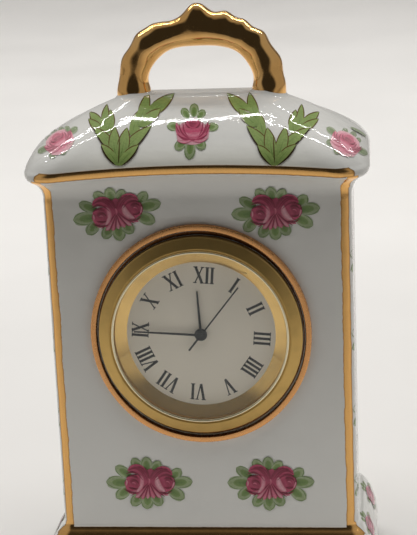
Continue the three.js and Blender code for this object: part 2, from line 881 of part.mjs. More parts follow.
const insert = new THREE.Group();
insert.rotation.z = -radians(insertTurn);
insert.add(
  piece("bezel", bezelGeometry(), brass),
  piece("glass", glassGeometry(), glass),
  piece("reflector_ring", reflectorGeometry(), polishedBrass),
  piece("dial", ring(1, dialRadius, dialBack, dialTop), dialPaint),
  piece("insert_case", ring(cupInner, dialRadius, cupBack, dialBack - gap), brass),
  piece("grip_ring", gripGeometry(), rubber),
  piece("movement_holder", holderGeometry(), nylon),
  piece("back_cover", coverGeometry(), brass),
  piece("hour_hand", hourHandGeometry(), black),
  piece("minute_hand", minuteHandGeometry(), black),
  piece("second_hand", secondHandGeometry(), black),
  piece("main_plate", plateGeometry(), brass),
  piece("train_bridge", bridgeGeometry(), nickel),
  piece("centre_wheel", centreWheelGeometry(), brass),
  piece("cannon_pinion", cannonGeometry(), steel),
  piece("second_wheel", secondWheelGeometry(), brass),
  piece("hour_wheel", hourWheelGeometry(), brass),
  at(piece("third_wheel", thirdWheelGeometry(), brass), thirdSpot),
  at(piece("fifth_wheel", fifthWheelGeometry(), brass), fifthSpot),
  at(piece("rotor", rotorGeometry(), steel), rotorSpot),
  at(piece("minute_wheel", minuteWheelGeometry(), brass), minuteSpot),
  piece("stator", statorGeometry(), steel),
  piece("coil_core", coreGeometry(), steel),
  piece("motor_coil", coilGeometry(), copper),
  piece("circuit_board", boardGeometry(), board),
  piece("quartz_can", canGeometry(), nickel),
  piece("chip", chipGeometry(), black),
  piece("button_cell", cellGeometry(), nickel),
  piece("cell_strap", strapGeometry(), steel),
  piece("setting_lever", leverGeometry(), steel),
  piece("setting_stem", stemGeometry(), steel),
  piece("crown", crownGeometry(), brass),
);
pillarSpots.forEach((spot, k) => {
  insert.add(piece(`bridge_screw_${k + 1}`, screwGeometry(spot), steel));
});

const front = new THREE.Group();
front.rotation.x = Math.PI / 2;
front.position.set(0, -bodyDepth / 2, dialHeight);
front.add(insert);
clock.add(front);

export default clock;
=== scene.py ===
"""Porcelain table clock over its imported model: glazed case, gilding, painted roses and a brass insert."""

import json
import math
import random

import bmesh
import bpy
from bpy.props import FloatProperty, FloatVectorProperty, IntProperty, PointerProperty
from mathutils import Matrix, Vector, noise
from mathutils.bvhtree import BVHTree


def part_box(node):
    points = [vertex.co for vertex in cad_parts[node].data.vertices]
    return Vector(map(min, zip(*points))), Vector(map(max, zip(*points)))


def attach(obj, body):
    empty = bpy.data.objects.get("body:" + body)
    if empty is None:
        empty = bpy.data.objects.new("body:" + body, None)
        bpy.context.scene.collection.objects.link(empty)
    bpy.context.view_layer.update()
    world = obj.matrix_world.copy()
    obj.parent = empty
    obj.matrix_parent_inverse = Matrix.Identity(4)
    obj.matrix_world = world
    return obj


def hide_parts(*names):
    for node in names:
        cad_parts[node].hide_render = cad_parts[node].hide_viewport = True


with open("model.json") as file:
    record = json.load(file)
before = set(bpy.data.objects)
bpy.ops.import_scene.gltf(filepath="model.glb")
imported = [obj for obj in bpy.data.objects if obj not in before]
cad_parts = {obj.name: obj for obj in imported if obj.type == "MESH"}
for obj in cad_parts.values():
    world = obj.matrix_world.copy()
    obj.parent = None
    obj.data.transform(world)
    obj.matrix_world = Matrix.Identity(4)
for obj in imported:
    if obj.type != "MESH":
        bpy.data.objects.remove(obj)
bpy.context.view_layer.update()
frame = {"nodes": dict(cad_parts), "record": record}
nodes_of_clock = frame["nodes"]
case_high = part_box("porcelain_case")[1]

bl_info = {
    "name": "Porcelain Table Clock",
    "version": (1, 0, 0),
    "blender": (4, 5, 0),
    "location": "View3D > Sidebar > Clock",
    "description": "Builds a porcelain table clock with gilding, painted roses and a quartz insert",
    "category": "Add Mesh",
}

MM = 0.001
MERGE = 1e-8
UP = Vector((0, 0, 1))
WHITE = (0.70, 0.69, 0.65)

# the photo's camera: its axes, its frame in pixels and the height of its sensor in millimetres
CAMERA_RIGHT = (0.994417, 0.097426, -0.040539)
CAMERA_UP = (0.013016, 0.267990, 0.963334)
CAMERA_FORWARD = (-0.104717, 0.958483, -0.265226)
PHOTO_WIDTH = 417
PHOTO_HEIGHT = 535
SENSOR = 36


# Settings

def length(name, text, value, **more):
    """A length in metres."""
    return FloatProperty(
        name=name, description=text, default=value, unit="LENGTH", subtype="DISTANCE", **more)


def tint(name, text, value):
    """A colour."""
    return FloatVectorProperty(
        name=name, description=text, default=value, size=3, min=0.0, max=1.0, subtype="COLOR")


class CaseSettings(bpy.types.PropertyGroup):
    width: length("Body width", "Width of the body between its corners", 0.0616)
    depth: length("Body depth", "Depth of the body", 0.031)
    roof_top: length("Roof top", "Height of the flat top of the roof", case_high[2])
    dial_height: length("Dial height", "Height of the dial's centre", 0.056)
    glaze: tint("Glaze", "Colour of the white glaze", WHITE)
    gold: tint("Gilding", "Colour of the fired gold", (0.90, 0.51, 0.175))


class HandleSettings(bpy.types.PropertyGroup):
    half_span: length("Half span", "Half the distance between the feet", 0.0138)
    rise: length("Rise", "Height of the arch above the roof", 0.0124)
    shift: length("Shift", "How far the handle sits off the middle", 0.0005)
    radius: length("Radius", "Radius of the branch", 0.00295)


class InsertSettings(bpy.types.PropertyGroup):
    turn: FloatProperty(
        name="Turn", description="How far the insert is turned clockwise in its hole",
        default=math.radians(5), unit="ROTATION", subtype="ANGLE")
    numeral_radius: length("Numeral circle", "Radius of the circle through the numerals", 0.01238)
    numeral_height: length("Numeral height", "Height of a numeral", 0.00345)
    brass: tint("Brass", "Colour of the lacquered brass", (0.75, 0.495, 0.165))
    dial: tint("Dial", "Colour of the dial's paint", (0.86, 0.795, 0.665))


class PaintSettings(bpy.types.PropertyGroup):
    relief: length("Relief", "How far a brush stroke stands above the one before it", 0.000004, precision=6)
    seed: IntProperty(name="Seed", description="Seed of the brush's small differences", default=7)
    rose: tint("Rose", "Colour of the petals", (0.41, 0.055, 0.115))
    rose_dark: tint("Rose shade", "Colour of the dark petal strokes", (0.19, 0.014, 0.04))
    rose_light: tint("Rose light", "Colour of the pale petal strokes", (0.60, 0.20, 0.27))
    leaf: tint("Leaf", "Colour of the leaves", (0.205, 0.28, 0.10))
    leaf_dark: tint("Leaf shade", "Colour of the leaves' dark strokes", (0.085, 0.165, 0.035))
    outline: tint("Outline", "Colour of the drawn outlines", (0.035, 0.02, 0.008))


class StageSettings(bpy.types.PropertyGroup):
    camera_place: FloatVectorProperty(
        name="Camera", description="Place of the camera", default=(0.0365858, -0.3309129, 0.1573336), size=3,
        precision=6, unit="LENGTH", subtype="TRANSLATION")
    lens: FloatProperty(
        name="Lens", description="Focal length on a 36 mm tall frame, in millimetres", default=111.03)
    floor: tint("Floor", "Colour of the floor and backdrop", (0.89, 0.865, 0.83))


# Meshes

def grid_spots(bm, columns, rows):
    """Adds a grid and lists its vertices with their column and row."""
    made = bmesh.ops.create_grid(bm, x_segments=columns, y_segments=rows, size=1.0)["verts"]
    return [(vert, round((vert.co.x + 1) / 2 * columns), round((vert.co.y + 1) / 2 * rows)) for vert in made]


def wrapped(bm, columns, rows, place, closed=True):
    """Lays a grid over a form: columns go round it, rows along it, and place gives each vertex its spot."""
    spots = grid_spots(bm, columns, rows)
    for vert, column, row in spots:
        vert.co = place(column % columns if closed else column, row)
    if closed:
        bmesh.ops.remove_doubles(bm, verts=[spot[0] for spot in spots], dist=MERGE)


def close_ends(bm):
    """Fills every open rim."""
    bmesh.ops.holes_fill(bm, edges=[edge for edge in bm.edges if edge.is_boundary], sides=0)


def turned(bm, profile, steps):
    """Spins a closed profile of (radius, level) points in millimetres about the dial axis."""
    verts = [bm.verts.new((radius * MM, 0, level * MM)) for radius, level in profile]
    edges = [bm.edges.new((a, b)) for a, b in zip(verts, verts[1:] + verts[:1])]
    bmesh.ops.spin(
        bm, geom=verts + edges, cent=(0, 0, 0), axis=UP, dvec=(0, 0, 0), angle=2 * math.pi,
        steps=steps, use_merge=True, use_normal_flip=False, use_duplicate=False)
    bmesh.ops.remove_doubles(bm, verts=bm.verts, dist=10 * MERGE)


def dial_matrix(scene):
    """From the dial axis frame, with z towards the viewer, to the clock's frame."""
    case = scene.clock_case
    place = Matrix.Translation((0, -case.depth / 2, case.dial_height))
    return place @ Matrix.Rotation(math.pi / 2, 4, "X")


def insert_matrix(scene):
    """As the dial's, turned with the insert."""
    return dial_matrix(scene) @ Matrix.Rotation(-scene.clock_insert.turn, 4, "Z")


def mesh_of(name, bm):
    """Ends the modelling of a mesh, with its normals outward."""
    bmesh.ops.recalc_face_normals(bm, faces=bm.faces)
    mesh = bpy.data.meshes.new(name)
    bm.to_mesh(mesh)
    bm.free()
    return mesh


def dress(mesh, material):
    """Gives a mesh one material."""
    mesh.materials.clear()
    mesh.materials.append(material)


def add_mesh(name, mesh, body, slot, material, replaces=(), sharp=40.0):
    """Makes the mesh an object that rides on a body of the clock."""
    mesh.polygons.foreach_set("use_smooth", [True] * len(mesh.polygons))
    mesh.set_sharp_from_angle(angle=math.radians(sharp))
    dress(mesh, material)
    piece = bpy.data.objects.new(name, mesh)
    bpy.context.scene.collection.objects.link(piece)
    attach(piece, body)
    if replaces:
        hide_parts(*replaces)


def add_piece(name, bm, *rest, **more):
    """Ends the modelling of a piece and adds it."""
    add_mesh(name, mesh_of(name, bm), *rest, **more)


def carve(mesh, tools):
    """Cuts closed tool meshes out of a closed mesh."""
    scene = bpy.context.scene
    body = bpy.data.objects.new("carving", mesh)
    scene.collection.objects.link(body)
    helpers = []
    for tool in tools:
        helper = bpy.data.objects.new("carving_tool", tool)
        scene.collection.objects.link(helper)
        cut = body.modifiers.new("Cut", "BOOLEAN")
        cut.operation = "DIFFERENCE"
        cut.solver = "EXACT"
        cut.object = helper
        helpers.append(helper)
    bpy.context.view_layer.update()
    graph = bpy.context.evaluated_depsgraph_get()
    result = bpy.data.meshes.new_from_object(body.evaluated_get(graph))
    for spare in [body] + helpers:
        spare_mesh = spare.data
        bpy.data.objects.remove(spare)
        bpy.data.meshes.remove(spare_mesh)
    return result


# Materials

# the gilt corner strips in millimetres: how far they reach in from the body's ends and back from its front,
# the glaze left bare at its edge, and their lowest and highest points
STRIP_WIDE = 2.25
STRIP_DEEP = 1.0
STRIP_EDGE = 0.55
STRIP_LOW = 12.2
STRIP_HIGH = 88.7
# the strips' flares: from one height to another, and how much wider they are there
FLARE_IN = (86.4, 88.4, 0.0, 1.5)
FLARE_FRONT = (85.8, 88.2, 0.0, 1.7)
FLARE_OUT = (85.6, 88.2, 0.0, 2.0)
FLARE_FOOT = (STRIP_LOW, 15.0, 3.0, 0.0)
# the lines under the eaves and over the foot
HEAD_LOW = 88.5
HEAD_HIGH = 90.4
HEAD_DEEP = 2.3
FOOT_LOW = 11.6
FOOT_HIGH = 14.0
FOOT_DEEP = 0.3
# the rise of the eaves in the middle, and half the width it takes
EAVES_BOW = 1.3
BOW_HALF = 28.0
# the dial opening is this much taller than wide
OPENING_STRETCH = 1.025
# where the dial ring's face begins over the wall inside it, which is painted brown as painted shade, and the
# width of the change
RING_FACE = 21.24
RING_BLEND = 0.16


class Value:
    """A node's output. Sums and products of values make nodes of their own."""

    def __init__(self, tree, socket):
        self.tree = tree
        self.socket = socket

    def __add__(self, other):
        return calc("ADD", self, other)

    def __sub__(self, other):
        return calc("SUBTRACT", self, other)

    def __rsub__(self, other):
        return calc("SUBTRACT", other, self)

    def __mul__(self, other):
        return calc("MULTIPLY", self, other)

    def __truediv__(self, other):
        return calc("DIVIDE", self, other)

    def __pow__(self, other):
        return calc("POWER", self, other)

    def __abs__(self):
        return calc("ABSOLUTE", self)


def plug(node, inputs):
    """Links values to a node's inputs, or sets constants on them."""
    for key, value in inputs.items():
        if isinstance(value, Value):
            value.tree.links.new(value.socket, node.inputs[key])
        else:
            node.inputs[key].default_value = value


def add_node(tree, kind, inputs, output=0, **settings):
    node = tree.nodes.new(kind)
    for key, value in settings.items():
        setattr(node, key, value)
    plug(node, inputs)
    return Value(tree, node.outputs[output])


def grown(kind, inputs, output=0, **settings):
    """A new node in the tree that its inputs come from."""
    tree = next(value.tree for value in inputs.values() if isinstance(value, Value))
    return add_node(tree, kind, inputs, output, **settings)


def calc(operation, first, second=0.0):
    return grown("ShaderNodeMath", {0: first, 1: second}, operation=operation)


def least(first, *others):
    for other in others:
        first = calc("MINIMUM", first, other)
    return first


def axes_of(vector):
    node = grown("ShaderNodeSeparateXYZ", {0: vector}).socket.node
    return [Value(vector.tree, socket) for socket in node.outputs]


def speckle(vector, scale, detail=2.0, roughness=0.5):
    inputs = {"Vector": vector, "Scale": scale, "Detail": detail, "Roughness": roughness}
    return grown("ShaderNodeTexNoise", inputs)


def stretched(vector, scale):
    return grown("ShaderNodeMapping", {"Vector": vector, "Scale": scale})


def ranged(value, low, high, to_low=0.0, to_high=1.0):
    inputs = {"Value": value, "From Min": low, "From Max": high, "To Min": to_low, "To Max": to_high}
    return grown("ShaderNodeMapRange", inputs)


def blended(share, first, second):
    return grown("ShaderNodeMix", {"Factor": share, 6: first, 7: second}, 2, data_type="RGBA")


def rgba(colour, share=1.0):
    return (colour[0] * share, colour[1] * share, colour[2] * share, 1.0)


def principled(material):
    return next(node for node in material.node_tree.nodes if node.type == "BSDF_PRINCIPLED")


def millimetres(material):
    """Object coordinates in millimetres."""
    place = add_node(material.node_tree, "ShaderNodeTexCoord", {}, "Object")
    return grown("ShaderNodeVectorMath", {0: place, "Scale": 1000.0}, operation="SCALE")


def new_material(name):
    material = bpy.data.materials.new(name)
    material.use_nodes = True
    return material, millimetres(material)


def coat(material, tone, rough, metal, height, strength, distance):
    """Feeds a material's shader."""
    normal = grown("ShaderNodeBump", {"Height": height, "Strength": strength, "Distance": distance})
    plug(principled(material), {"Base Color": tone, "Roughness": rough, "Metallic": metal, "Normal": normal})
    return material


def tone_of(material):
    """A finished material's colour, to be painted over."""
    return Value(material.node_tree, principled(material).inputs["Base Color"].links[0].from_socket)


def dial_radius(scene, vector, stretch=1.0):
    """The distance from the dial axis in millimetres, on a form stretched upwards."""
    x, _, z = axes_of(vector)
    return calc("SQRT", x ** 2.0 + ((z - scene.clock_case.dial_height / MM) / stretch) ** 2.0)


def half_sizes(scene):
    """Half the body's width and depth in millimetres."""
    return scene.clock_case.width / MM / 2, scene.clock_case.depth / MM / 2


def porcelain_material(scene):
    """White glaze with gilt corners, mouldings and lines, whose edges waver as a brush leaves them; painted
    shade darkens the gilding's edges and painted light brightens the lower roof.
    """
    case = scene.clock_case
    material, vector = new_material("glazed_porcelain")
    x, y, z = axes_of(vector)
    half_width, half_depth = half_sizes(scene)
    across, along = abs(x), abs(y)
    fine = ranged(speckle(vector, 0.9), 0, 1, -0.1, 0.1)
    wander = ranged(speckle(vector, 0.22, 3.0, 0.55), 0, 1, -0.42, 0.42) + fine
    level = z - calc("MAXIMUM", 1.0 - (x / BOW_HALF) ** 2.0, 0.0) * EAVES_BOW

    strip = least(
        across - (half_width - STRIP_WIDE) - wander - ranged(z, *FLARE_IN),
        along - (half_depth - STRIP_DEEP) - wander - ranged(z, *FLARE_FRONT),
        ranged(z, *FLARE_OUT) + ranged(z, *FLARE_FOOT) + (half_width - STRIP_EDGE) - across + wander * 0.4,
        z - STRIP_LOW, STRIP_HIGH - z)
    head = least(level - (fine + HEAD_LOW), HEAD_HIGH - level, along - (half_depth + HEAD_DEEP))
    foot = least(z - FOOT_LOW, fine * 0.5 + FOOT_HIGH - z, along - (half_depth - FOOT_DEEP))
    depth = calc("MAXIMUM", strip, calc("MAXIMUM", head, foot))
    gilded = ranged(depth, 0.0, 0.06)

    streaks = speckle(stretched(vector, (1.5, 1.5, 0.25)), 1.6, 4.0)
    gold = blended(streaks, rgba(case.gold, 0.9), rgba(case.gold, 1.1))
    # painted shade: the gilding darkens to brown along all its edges
    rim = 1.0 - ranged(depth, 0.08, 0.34)
    gold = blended(rim * 0.6, gold, (0.16, 0.05, 0.015, 1.0))
    white = blended(speckle(vector, 0.06, 3.0), rgba(case.glaze, 0.965), rgba(case.glaze, 1.03))
    # painted light: a band of the roof just above the eaves is painted a paler cream than the glaze
    low_roof_light = ranged(level, 90.0, 90.5) * ranged(level, 90.6, 95.0, 1.0, 0.0)
    low_roof_light = low_roof_light * ranged(across, 18.0, 29.0, 1.0, 0.0)
    white = blended(low_roof_light, white, (0.87, 0.855, 0.77, 1.0))
    glaze_rough = ranged(speckle(vector, 0.5, 3.0), 0.3, 0.7, 0.012, 0.026)
    gold_rough = ranged(speckle(vector, 0.3), 0.3, 0.7, 0.16, 0.22)
    rough = grown("ShaderNodeMix", {"Factor": gilded, 2: glaze_rough, 3: gold_rough})
    ripple = speckle(vector, 0.11) + speckle(vector, 0.55, 3.0) * 0.16
    ripple = ripple * (1.0 - gilded * 0.75) + gilded * 0.03
    return coat(material, blended(gilded, white, gold), rough, gilded, ripple, 0.5, 0.0006)


def gold_material(scene, name, rough_low, rough_high, dark, relief):
    """Fired gold with brush streaks and paler patches."""
    material, vector = new_material(name)
    streaks = speckle(vector, 0.7, 4.0, 0.6)
    patch = ranged(speckle(vector, 0.16), 0.45, 0.7, 0.0, 0.45)
    gold = scene.clock_case.gold
    tone = blended(streaks, rgba(gold, dark), rgba(gold, 1.1))
    tone = blended(patch, tone, rgba((0.92, 0.60, 0.26)))
    rough = ranged(streaks, 0.3, 0.7, rough_low, rough_high)
    return coat(material, tone, rough, 1.0, speckle(vector, 0.8), relief, 0.00012)


def ring_material(scene):
    """The dial ring's coppery gold, with painted shade in dark brown on the wall inside it."""
    material = gold_material(scene, "ring_gold", 0.24, 0.3, 0.9, 0.02)
    radius = dial_radius(scene, millimetres(material), OPENING_STRETCH)
    face = ranged(radius, RING_FACE, RING_FACE + RING_BLEND)
    copper = blended(0.6, tone_of(material), (0.95, 0.44, 0.19, 1.0))
    # painted shade: inside its face the ring's wall is painted dark brown
    plug(principled(material), {"Base Color": blended(face, (0.17, 0.07, 0.025, 1.0), copper)})
    return material


def brass_material(scene, name, share, rough_low, rough_high, grain, coarse, metal=1.0, bead=0.0):
    """Lacquered brass with a fine grain and a few stains, polished within the bead's radius and painted a
    pale cream there as a painted highlight.
    """
    material, vector = new_material(name)
    grains = speckle(vector, grain, 3.0, 0.7)
    stain = ranged(speckle(vector, 0.35, 3.0), 0.5, 0.75, 0.0, 0.35)
    brass = scene.clock_insert.brass
    tone = blended(grains, rgba(brass, share * 0.8), rgba(brass, share * 1.2))
    tone = blended(stain, tone, rgba(brass, share * 0.62))
    # painted highlight: within the bead's radius the brass is painted a pale cream
    satin = ranged(dial_radius(scene, vector), bead, bead + 0.04)
    tone = blended(satin, (1.0, 0.9, 0.62, 1.0), tone)
    rough = ranged(grains, 0.25, 0.75, rough_low, rough_high) * ranged(satin, 0.0, 1.0, 0.3, 1.0)
    return coat(material, tone, rough, metal, grains, coarse, 0.00003)


def plain_material(name, colour, rough_low, rough_high, metal, scale, vary, relief, stretch=(1, 1, 1)):
    """A solid finish with soft changes of tone and gloss."""
    material, vector = new_material(name)
    grains = speckle(stretched(vector, stretch), scale, 4.0, 0.6)
    tone = blended(grains, rgba(colour, 1 - vary), rgba(colour, 1 + vary))
    rough = ranged(grains, 0.3, 0.7, rough_low, rough_high)
    return coat(material, tone, rough, metal, grains, relief, 0.00004)


def paint_material():
    """Enamel brushed on the glaze: the strokes carry their colours, thinned and pooled by the brush."""
    material, vector = new_material("rose_enamel")
    colour = add_node(material.node_tree, "ShaderNodeAttribute", {}, "Color", attribute_name="paint")
    pool = speckle(vector, 2.2, 4.0, 0.65)
    tone = grown("ShaderNodeHueSaturation", {"Value": ranged(pool, 0.25, 0.75, 0.82, 1.2), "Color": colour})
    return coat(material, tone, ranged(pool, 0.3, 0.7, 0.02, 0.05), 0.0, pool, 0.06, 0.00004)


def glass_material():
    """Clear glass with a faint smear."""
    material, vector = new_material("clock_glass")
    rough = ranged(speckle(vector, 0.25, 3.0), 0.3, 0.7, 0.01, 0.05)
    plug(principled(material), {"Base Color": (0.93, 0.96, 0.95, 1.0), "Roughness": rough, "Alpha": 0.05})
    return material


def dial_material(scene):
    """Satin ivory paint with a fine grain and faint clouds."""
    material, vector = new_material("dial_paint")
    colour = scene.clock_insert.dial
    grain = speckle(vector, 14.0, 3.0)
    tone = blended(grain, rgba(colour, 0.97), rgba(colour, 1.03))
    tone = blended(ranged(speckle(vector, 0.09), 0.35, 0.7, 0.0, 0.3), tone, rgba((0.75, 0.70, 0.60)))
    return coat(material, tone, ranged(grain, 0.3, 0.7, 0.38, 0.5), 0.0, grain, 0.12, 0.00002)


# Case

CORNER_STEPS = 10
SIDE_STEPS = 24
# levels of the case in millimetres: reach past the body, height and corner radius
PLINTH = ((3.5, 0.0), (3.8, 0.12), (4.02, 0.35), (4.1, 0.75), (4.1, 2.0), (4.1, 3.2))
PLINTH_REACH = 4.1
PLINTH_CORNER = 8.0
SHOULDER_FOOT = 4.5
BODY_FOOT = 14
BODY_CORNER = 2.2
DISH_LOW = (15, 20)
DISH_HIGH = (77, 83.4)
DISH_DEPTH = 0.4
DISH_RAMP = 5.0
COVE_FOOT = 84
COVE_REACH = 2.6
LIP_FOOT = 88.0
LIP_CORNER = 5.0
EAVES = 89.8
EAVES_REACH = 3.7
EAVES_CORNER = 7.5
ROOF_WIDE = -15.6
ROOF_DEEP = -11.3
ROOF_CORNER = 12.7
ROOF_FLAT = 2.6
WALL = 2.6
FOOT_REACH = 0.4
FOOT_CORNER = 4.8
# round openings on the dial axis: radius, and levels from the front of the body
DIAL_OPENING = (20.95, -0.6, 6)
INSERT_HOLE = (18.25, -7.2, 1)
ACCESS_RADIUS = 14.5


def arc(steps, level):
    return [level(k / steps) for k in range(steps + 1)]


def lerp(first, second, share):
    return first + (second - first) * share


def smooth(share):
    share = min(max(share, 0.0), 1.0)
    return share * share * (3 - 2 * share)


def station(reach, height, corner, dish=0, bow=0, deep=None):
    """A level of the case: reach in width and depth, height, corner radius, dish and bow."""
    return reach, reach if deep is None else deep, height, corner, dish, bow


def roof_station(roof_top, s):
    climb = s * s * (2.04 - 1.04 * s)
    return station(
        lerp(EAVES_REACH, ROOF_WIDE, climb), lerp(EAVES, roof_top, climb ** 0.55),
        lerp(EAVES_CORNER, ROOF_CORNER, math.sqrt(s)), 0, (1 - s) ** 2, lerp(EAVES_REACH, ROOF_DEEP, climb))


def case_stations(roof_top):
    """Levels up the case, from the foot to the flat of the roof."""
    shoulder_end = math.radians(62)
    cove_end = math.radians(60)
    lip_start = math.radians(20)

    def shoulder(s):
        level = math.cos(shoulder_end)
        reach = PLINTH_REACH * (math.cos(shoulder_end * s) - level) / (1 - level)
        height = lerp(SHOULDER_FOOT, BODY_FOOT, math.sin(shoulder_end * s) / math.sin(shoulder_end))
        return station(reach, height, lerp(PLINTH_CORNER, BODY_CORNER, s))

    def cove(s):
        reach = COVE_REACH * (1 - math.cos(cove_end * s)) / (1 - math.cos(cove_end))
        height = COVE_FOOT + (LIP_FOOT - COVE_FOOT) * math.sin(cove_end * s) / math.sin(cove_end)
        return station(reach, height, lerp(BODY_CORNER, LIP_CORNER, s), 0, s * s)

    def lip(s):
        angle = lerp(lip_start, math.pi / 2, s)
        out = (math.sin(angle) - math.sin(lip_start)) / (1 - math.sin(lip_start))
        height = lerp(LIP_FOOT, EAVES, 1 - math.cos(angle) / math.cos(lip_start))
        return station(lerp(COVE_REACH, EAVES_REACH, out), height, lerp(LIP_CORNER, EAVES_CORNER, s), 0, 1)

    stations = [station(reach, height, PLINTH_CORNER) for reach, height in PLINTH]
    stations += [shoulder(0.96 * k / 14) for k in range(15)]
    stations += [station(0.08, 14.12, BODY_CORNER), station(0, 14.6, BODY_CORNER)]
    stations += [station(0, lerp(*DISH_LOW, s), BODY_CORNER, smooth(s)) for s in (0, 0.2, 0.4, 0.6, 0.8, 1)]
    stations += [station(0, lerp(DISH_LOW[1], DISH_HIGH[0], s), BODY_CORNER, 1) for s in (0.25, 0.5, 0.75, 1)]
    stations += [station(0, lerp(*DISH_HIGH, s), BODY_CORNER, 1 - smooth(s)) for s in (0.2, 0.4, 0.6, 0.8, 1)]
    stations += arc(12, cove)
    stations += arc(12, lip)[1:]
    stations += arc(34, lambda s: roof_station(roof_top, s))[1:]
    for s in (0.3, 0.6, 1.0):
        flat = s * ROOF_FLAT
        stations.append(station(ROOF_WIDE - flat, roof_top, ROOF_CORNER, deep=ROOF_DEEP - flat))
    return stations


def case_point(half_width, half_depth, level, column):
    """One point of a ring round the case, counter-clockwise from above, in metres."""
    reach, depth_reach, height, corner, dish, bow = level
    wide = half_width + reach
    deep = half_depth + depth_reach
    radius = min(corner, wide - 0.1, deep - 0.1)
    quarter, step = divmod(column, CORNER_STEPS + SIDE_STEPS)
    signs = ((1, 1), (-1, 1), (-1, -1), (1, -1))

    def rim(index, angle):
        sign_x, sign_y = signs[index % 4]
        return Vector((sign_x * (wide - radius) + radius * math.cos(angle),
                       sign_y * (deep - radius) + radius * math.sin(angle), height))

    if step < CORNER_STEPS:
        return rim(quarter, (quarter + step / CORNER_STEPS) * math.pi / 2) * MM
    facing = (quarter + 1) * math.pi / 2
    start = rim(quarter, facing)
    end = rim(quarter + 1, facing)
    even = (step - CORNER_STEPS) / SIDE_STEPS
    share = lerp(even, 0.5 - 0.5 * math.cos(math.pi * even), 0.65)
    point = start.lerp(end, share)
    span = (end - start).length
    ramp = smooth(min(share, 1 - share) * span / DISH_RAMP)
    point -= Vector((math.cos(facing), math.sin(facing), 0)) * (dish * DISH_DEPTH * ramp)
    point.z += bow * EAVES_BOW * min(1.0, span / 20) * (1 - (2 * share - 1) ** 2)
    return point * MM


def case_loft(scene, name, stations):
    """A closed form through levels of the case."""
    half_width, half_depth = half_sizes(scene)
    bm = bmesh.new()
    wrapped(bm, 4 * (CORNER_STEPS + SIDE_STEPS), len(stations) - 1,
            lambda column, row: case_point(half_width, half_depth, stations[row], column))
    close_ends(bm)
    return mesh_of(name, bm)


def cavity(scene):
    """The hollow inside the case, a wall's thickness within it."""
    stations = [
        station(FOOT_REACH, 4.2, FOOT_CORNER), station(FOOT_REACH, 6.5, FOOT_CORNER), station(-3.2, 15, 1.5),
        station(-3.2, 83, 1.5), station(-0.6, 87.4, 2.4), station(0.5, 89.2, 4.3)]
    for s in (0.35, 0.55, 0.75, 0.9):
        reach, deep, height, corner, _, _ = roof_station(scene.clock_case.roof_top / MM, s)
        rounding = min(corner, half_sizes(scene)[1] + deep) - WALL
        stations.append(station(reach - WALL, height - WALL, rounding, deep=deep - WALL))
    return case_loft(scene, "cavity", stations)


def foot_hollow(scene):
    """The recess under the foot."""
    return case_loft(scene, "foot_hollow", [
        station(FOOT_REACH, -1, FOOT_CORNER), station(FOOT_REACH, 0.9, FOOT_CORNER),
        station(0.2, 1.0, FOOT_CORNER)])


def drum(scene, radius, back, front, stretch=1.0):
    """A round cutter on the dial axis."""
    bm = bmesh.new()
    bmesh.ops.create_cone(
        bm, cap_ends=True, segments=144, radius1=radius * MM, radius2=radius * MM,
        depth=(front - back) * MM)
    bmesh.ops.translate(bm, verts=bm.verts, vec=(0, 0, (front + back) / 2 * MM))
    bmesh.ops.scale(bm, verts=bm.verts, vec=(1, stretch, 1))
    bm.transform(dial_matrix(scene))
    return mesh_of("drum", bm)


class CLOCK_OT_case(bpy.types.Operator):
    """Models the hollow porcelain case with its mouldings, dial opening and access hole"""
    bl_idname = "clock.case"
    bl_label = "Porcelain case"

    def execute(self, context):
        scene = context.scene
        depth = scene.clock_case.depth / MM
        tools = [cavity(scene), foot_hollow(scene), drum(scene, *DIAL_OPENING, OPENING_STRETCH),
                 drum(scene, *INSERT_HOLE), drum(scene, ACCESS_RADIUS, -depth - 3, -depth + 6.2)]
        shell = case_loft(scene, "porcelain_shell", case_stations(scene.clock_case.roof_top / MM))
        add_mesh("porcelain_shell", carve(shell, tools), "case", "porcelain", porcelain_material(scene),
                 ("porcelain_case",), sharp=42)
        return {"FINISHED"}


# the dial ring in millimetres: the foot of its section, its two rounded edges and the wall inside it
RING_FOOT = [(20.74, -0.62), (22.4, -0.7), (22.4, 0.3)]
RING_WALL = [(21.2, -0.5), (20.74, -0.54)]
RING_INNER = 20.85
RING_EDGE_STEPS = 6
RING_WOBBLE = 0.1


def ring_edge(radius, level, wide, high, start):
    """A quarter of an oval in the ring's section."""
    angles = [math.radians(start + 90 * k / RING_EDGE_STEPS) for k in range(RING_EDGE_STEPS + 1)]
    return [(radius + wide * math.cos(angle), level + high * math.sin(angle)) for angle in angles]


class CLOCK_OT_dial_ring(bpy.types.Operator):
    """Models the raised gilt ring round the dial opening"""
    bl_idname = "clock.dial_ring"
    bl_label = "Gilt ring"

    def execute(self, context):
        scene = context.scene
        bm = bmesh.new()
        edges = ring_edge(22.22, 0.54, 0.18, 0.22, 0) + ring_edge(21.4, 0.46, 0.2, 0.3, 90)
        turned(bm, RING_FOOT + edges + RING_WALL, 160)
        for vert in bm.verts:
            radial = Vector((vert.co.x, vert.co.y, 0))
            if radial.length < RING_INNER * MM:
                continue
            angle = math.atan2(vert.co.y, vert.co.x)
            spot = Vector((math.cos(angle) * 2.2, math.sin(angle) * 2.2, 3.7))
            wobble = noise.noise(spot) * RING_WOBBLE
            vert.co += radial.normalized() * wobble * MM
            vert.co.y *= OPENING_STRETCH
        bm.transform(dial_matrix(scene))
        add_piece("gilt_ring", bm, "case", "gilt", ring_material(scene), sharp=60)
        return {"FINISHED"}


# Handle

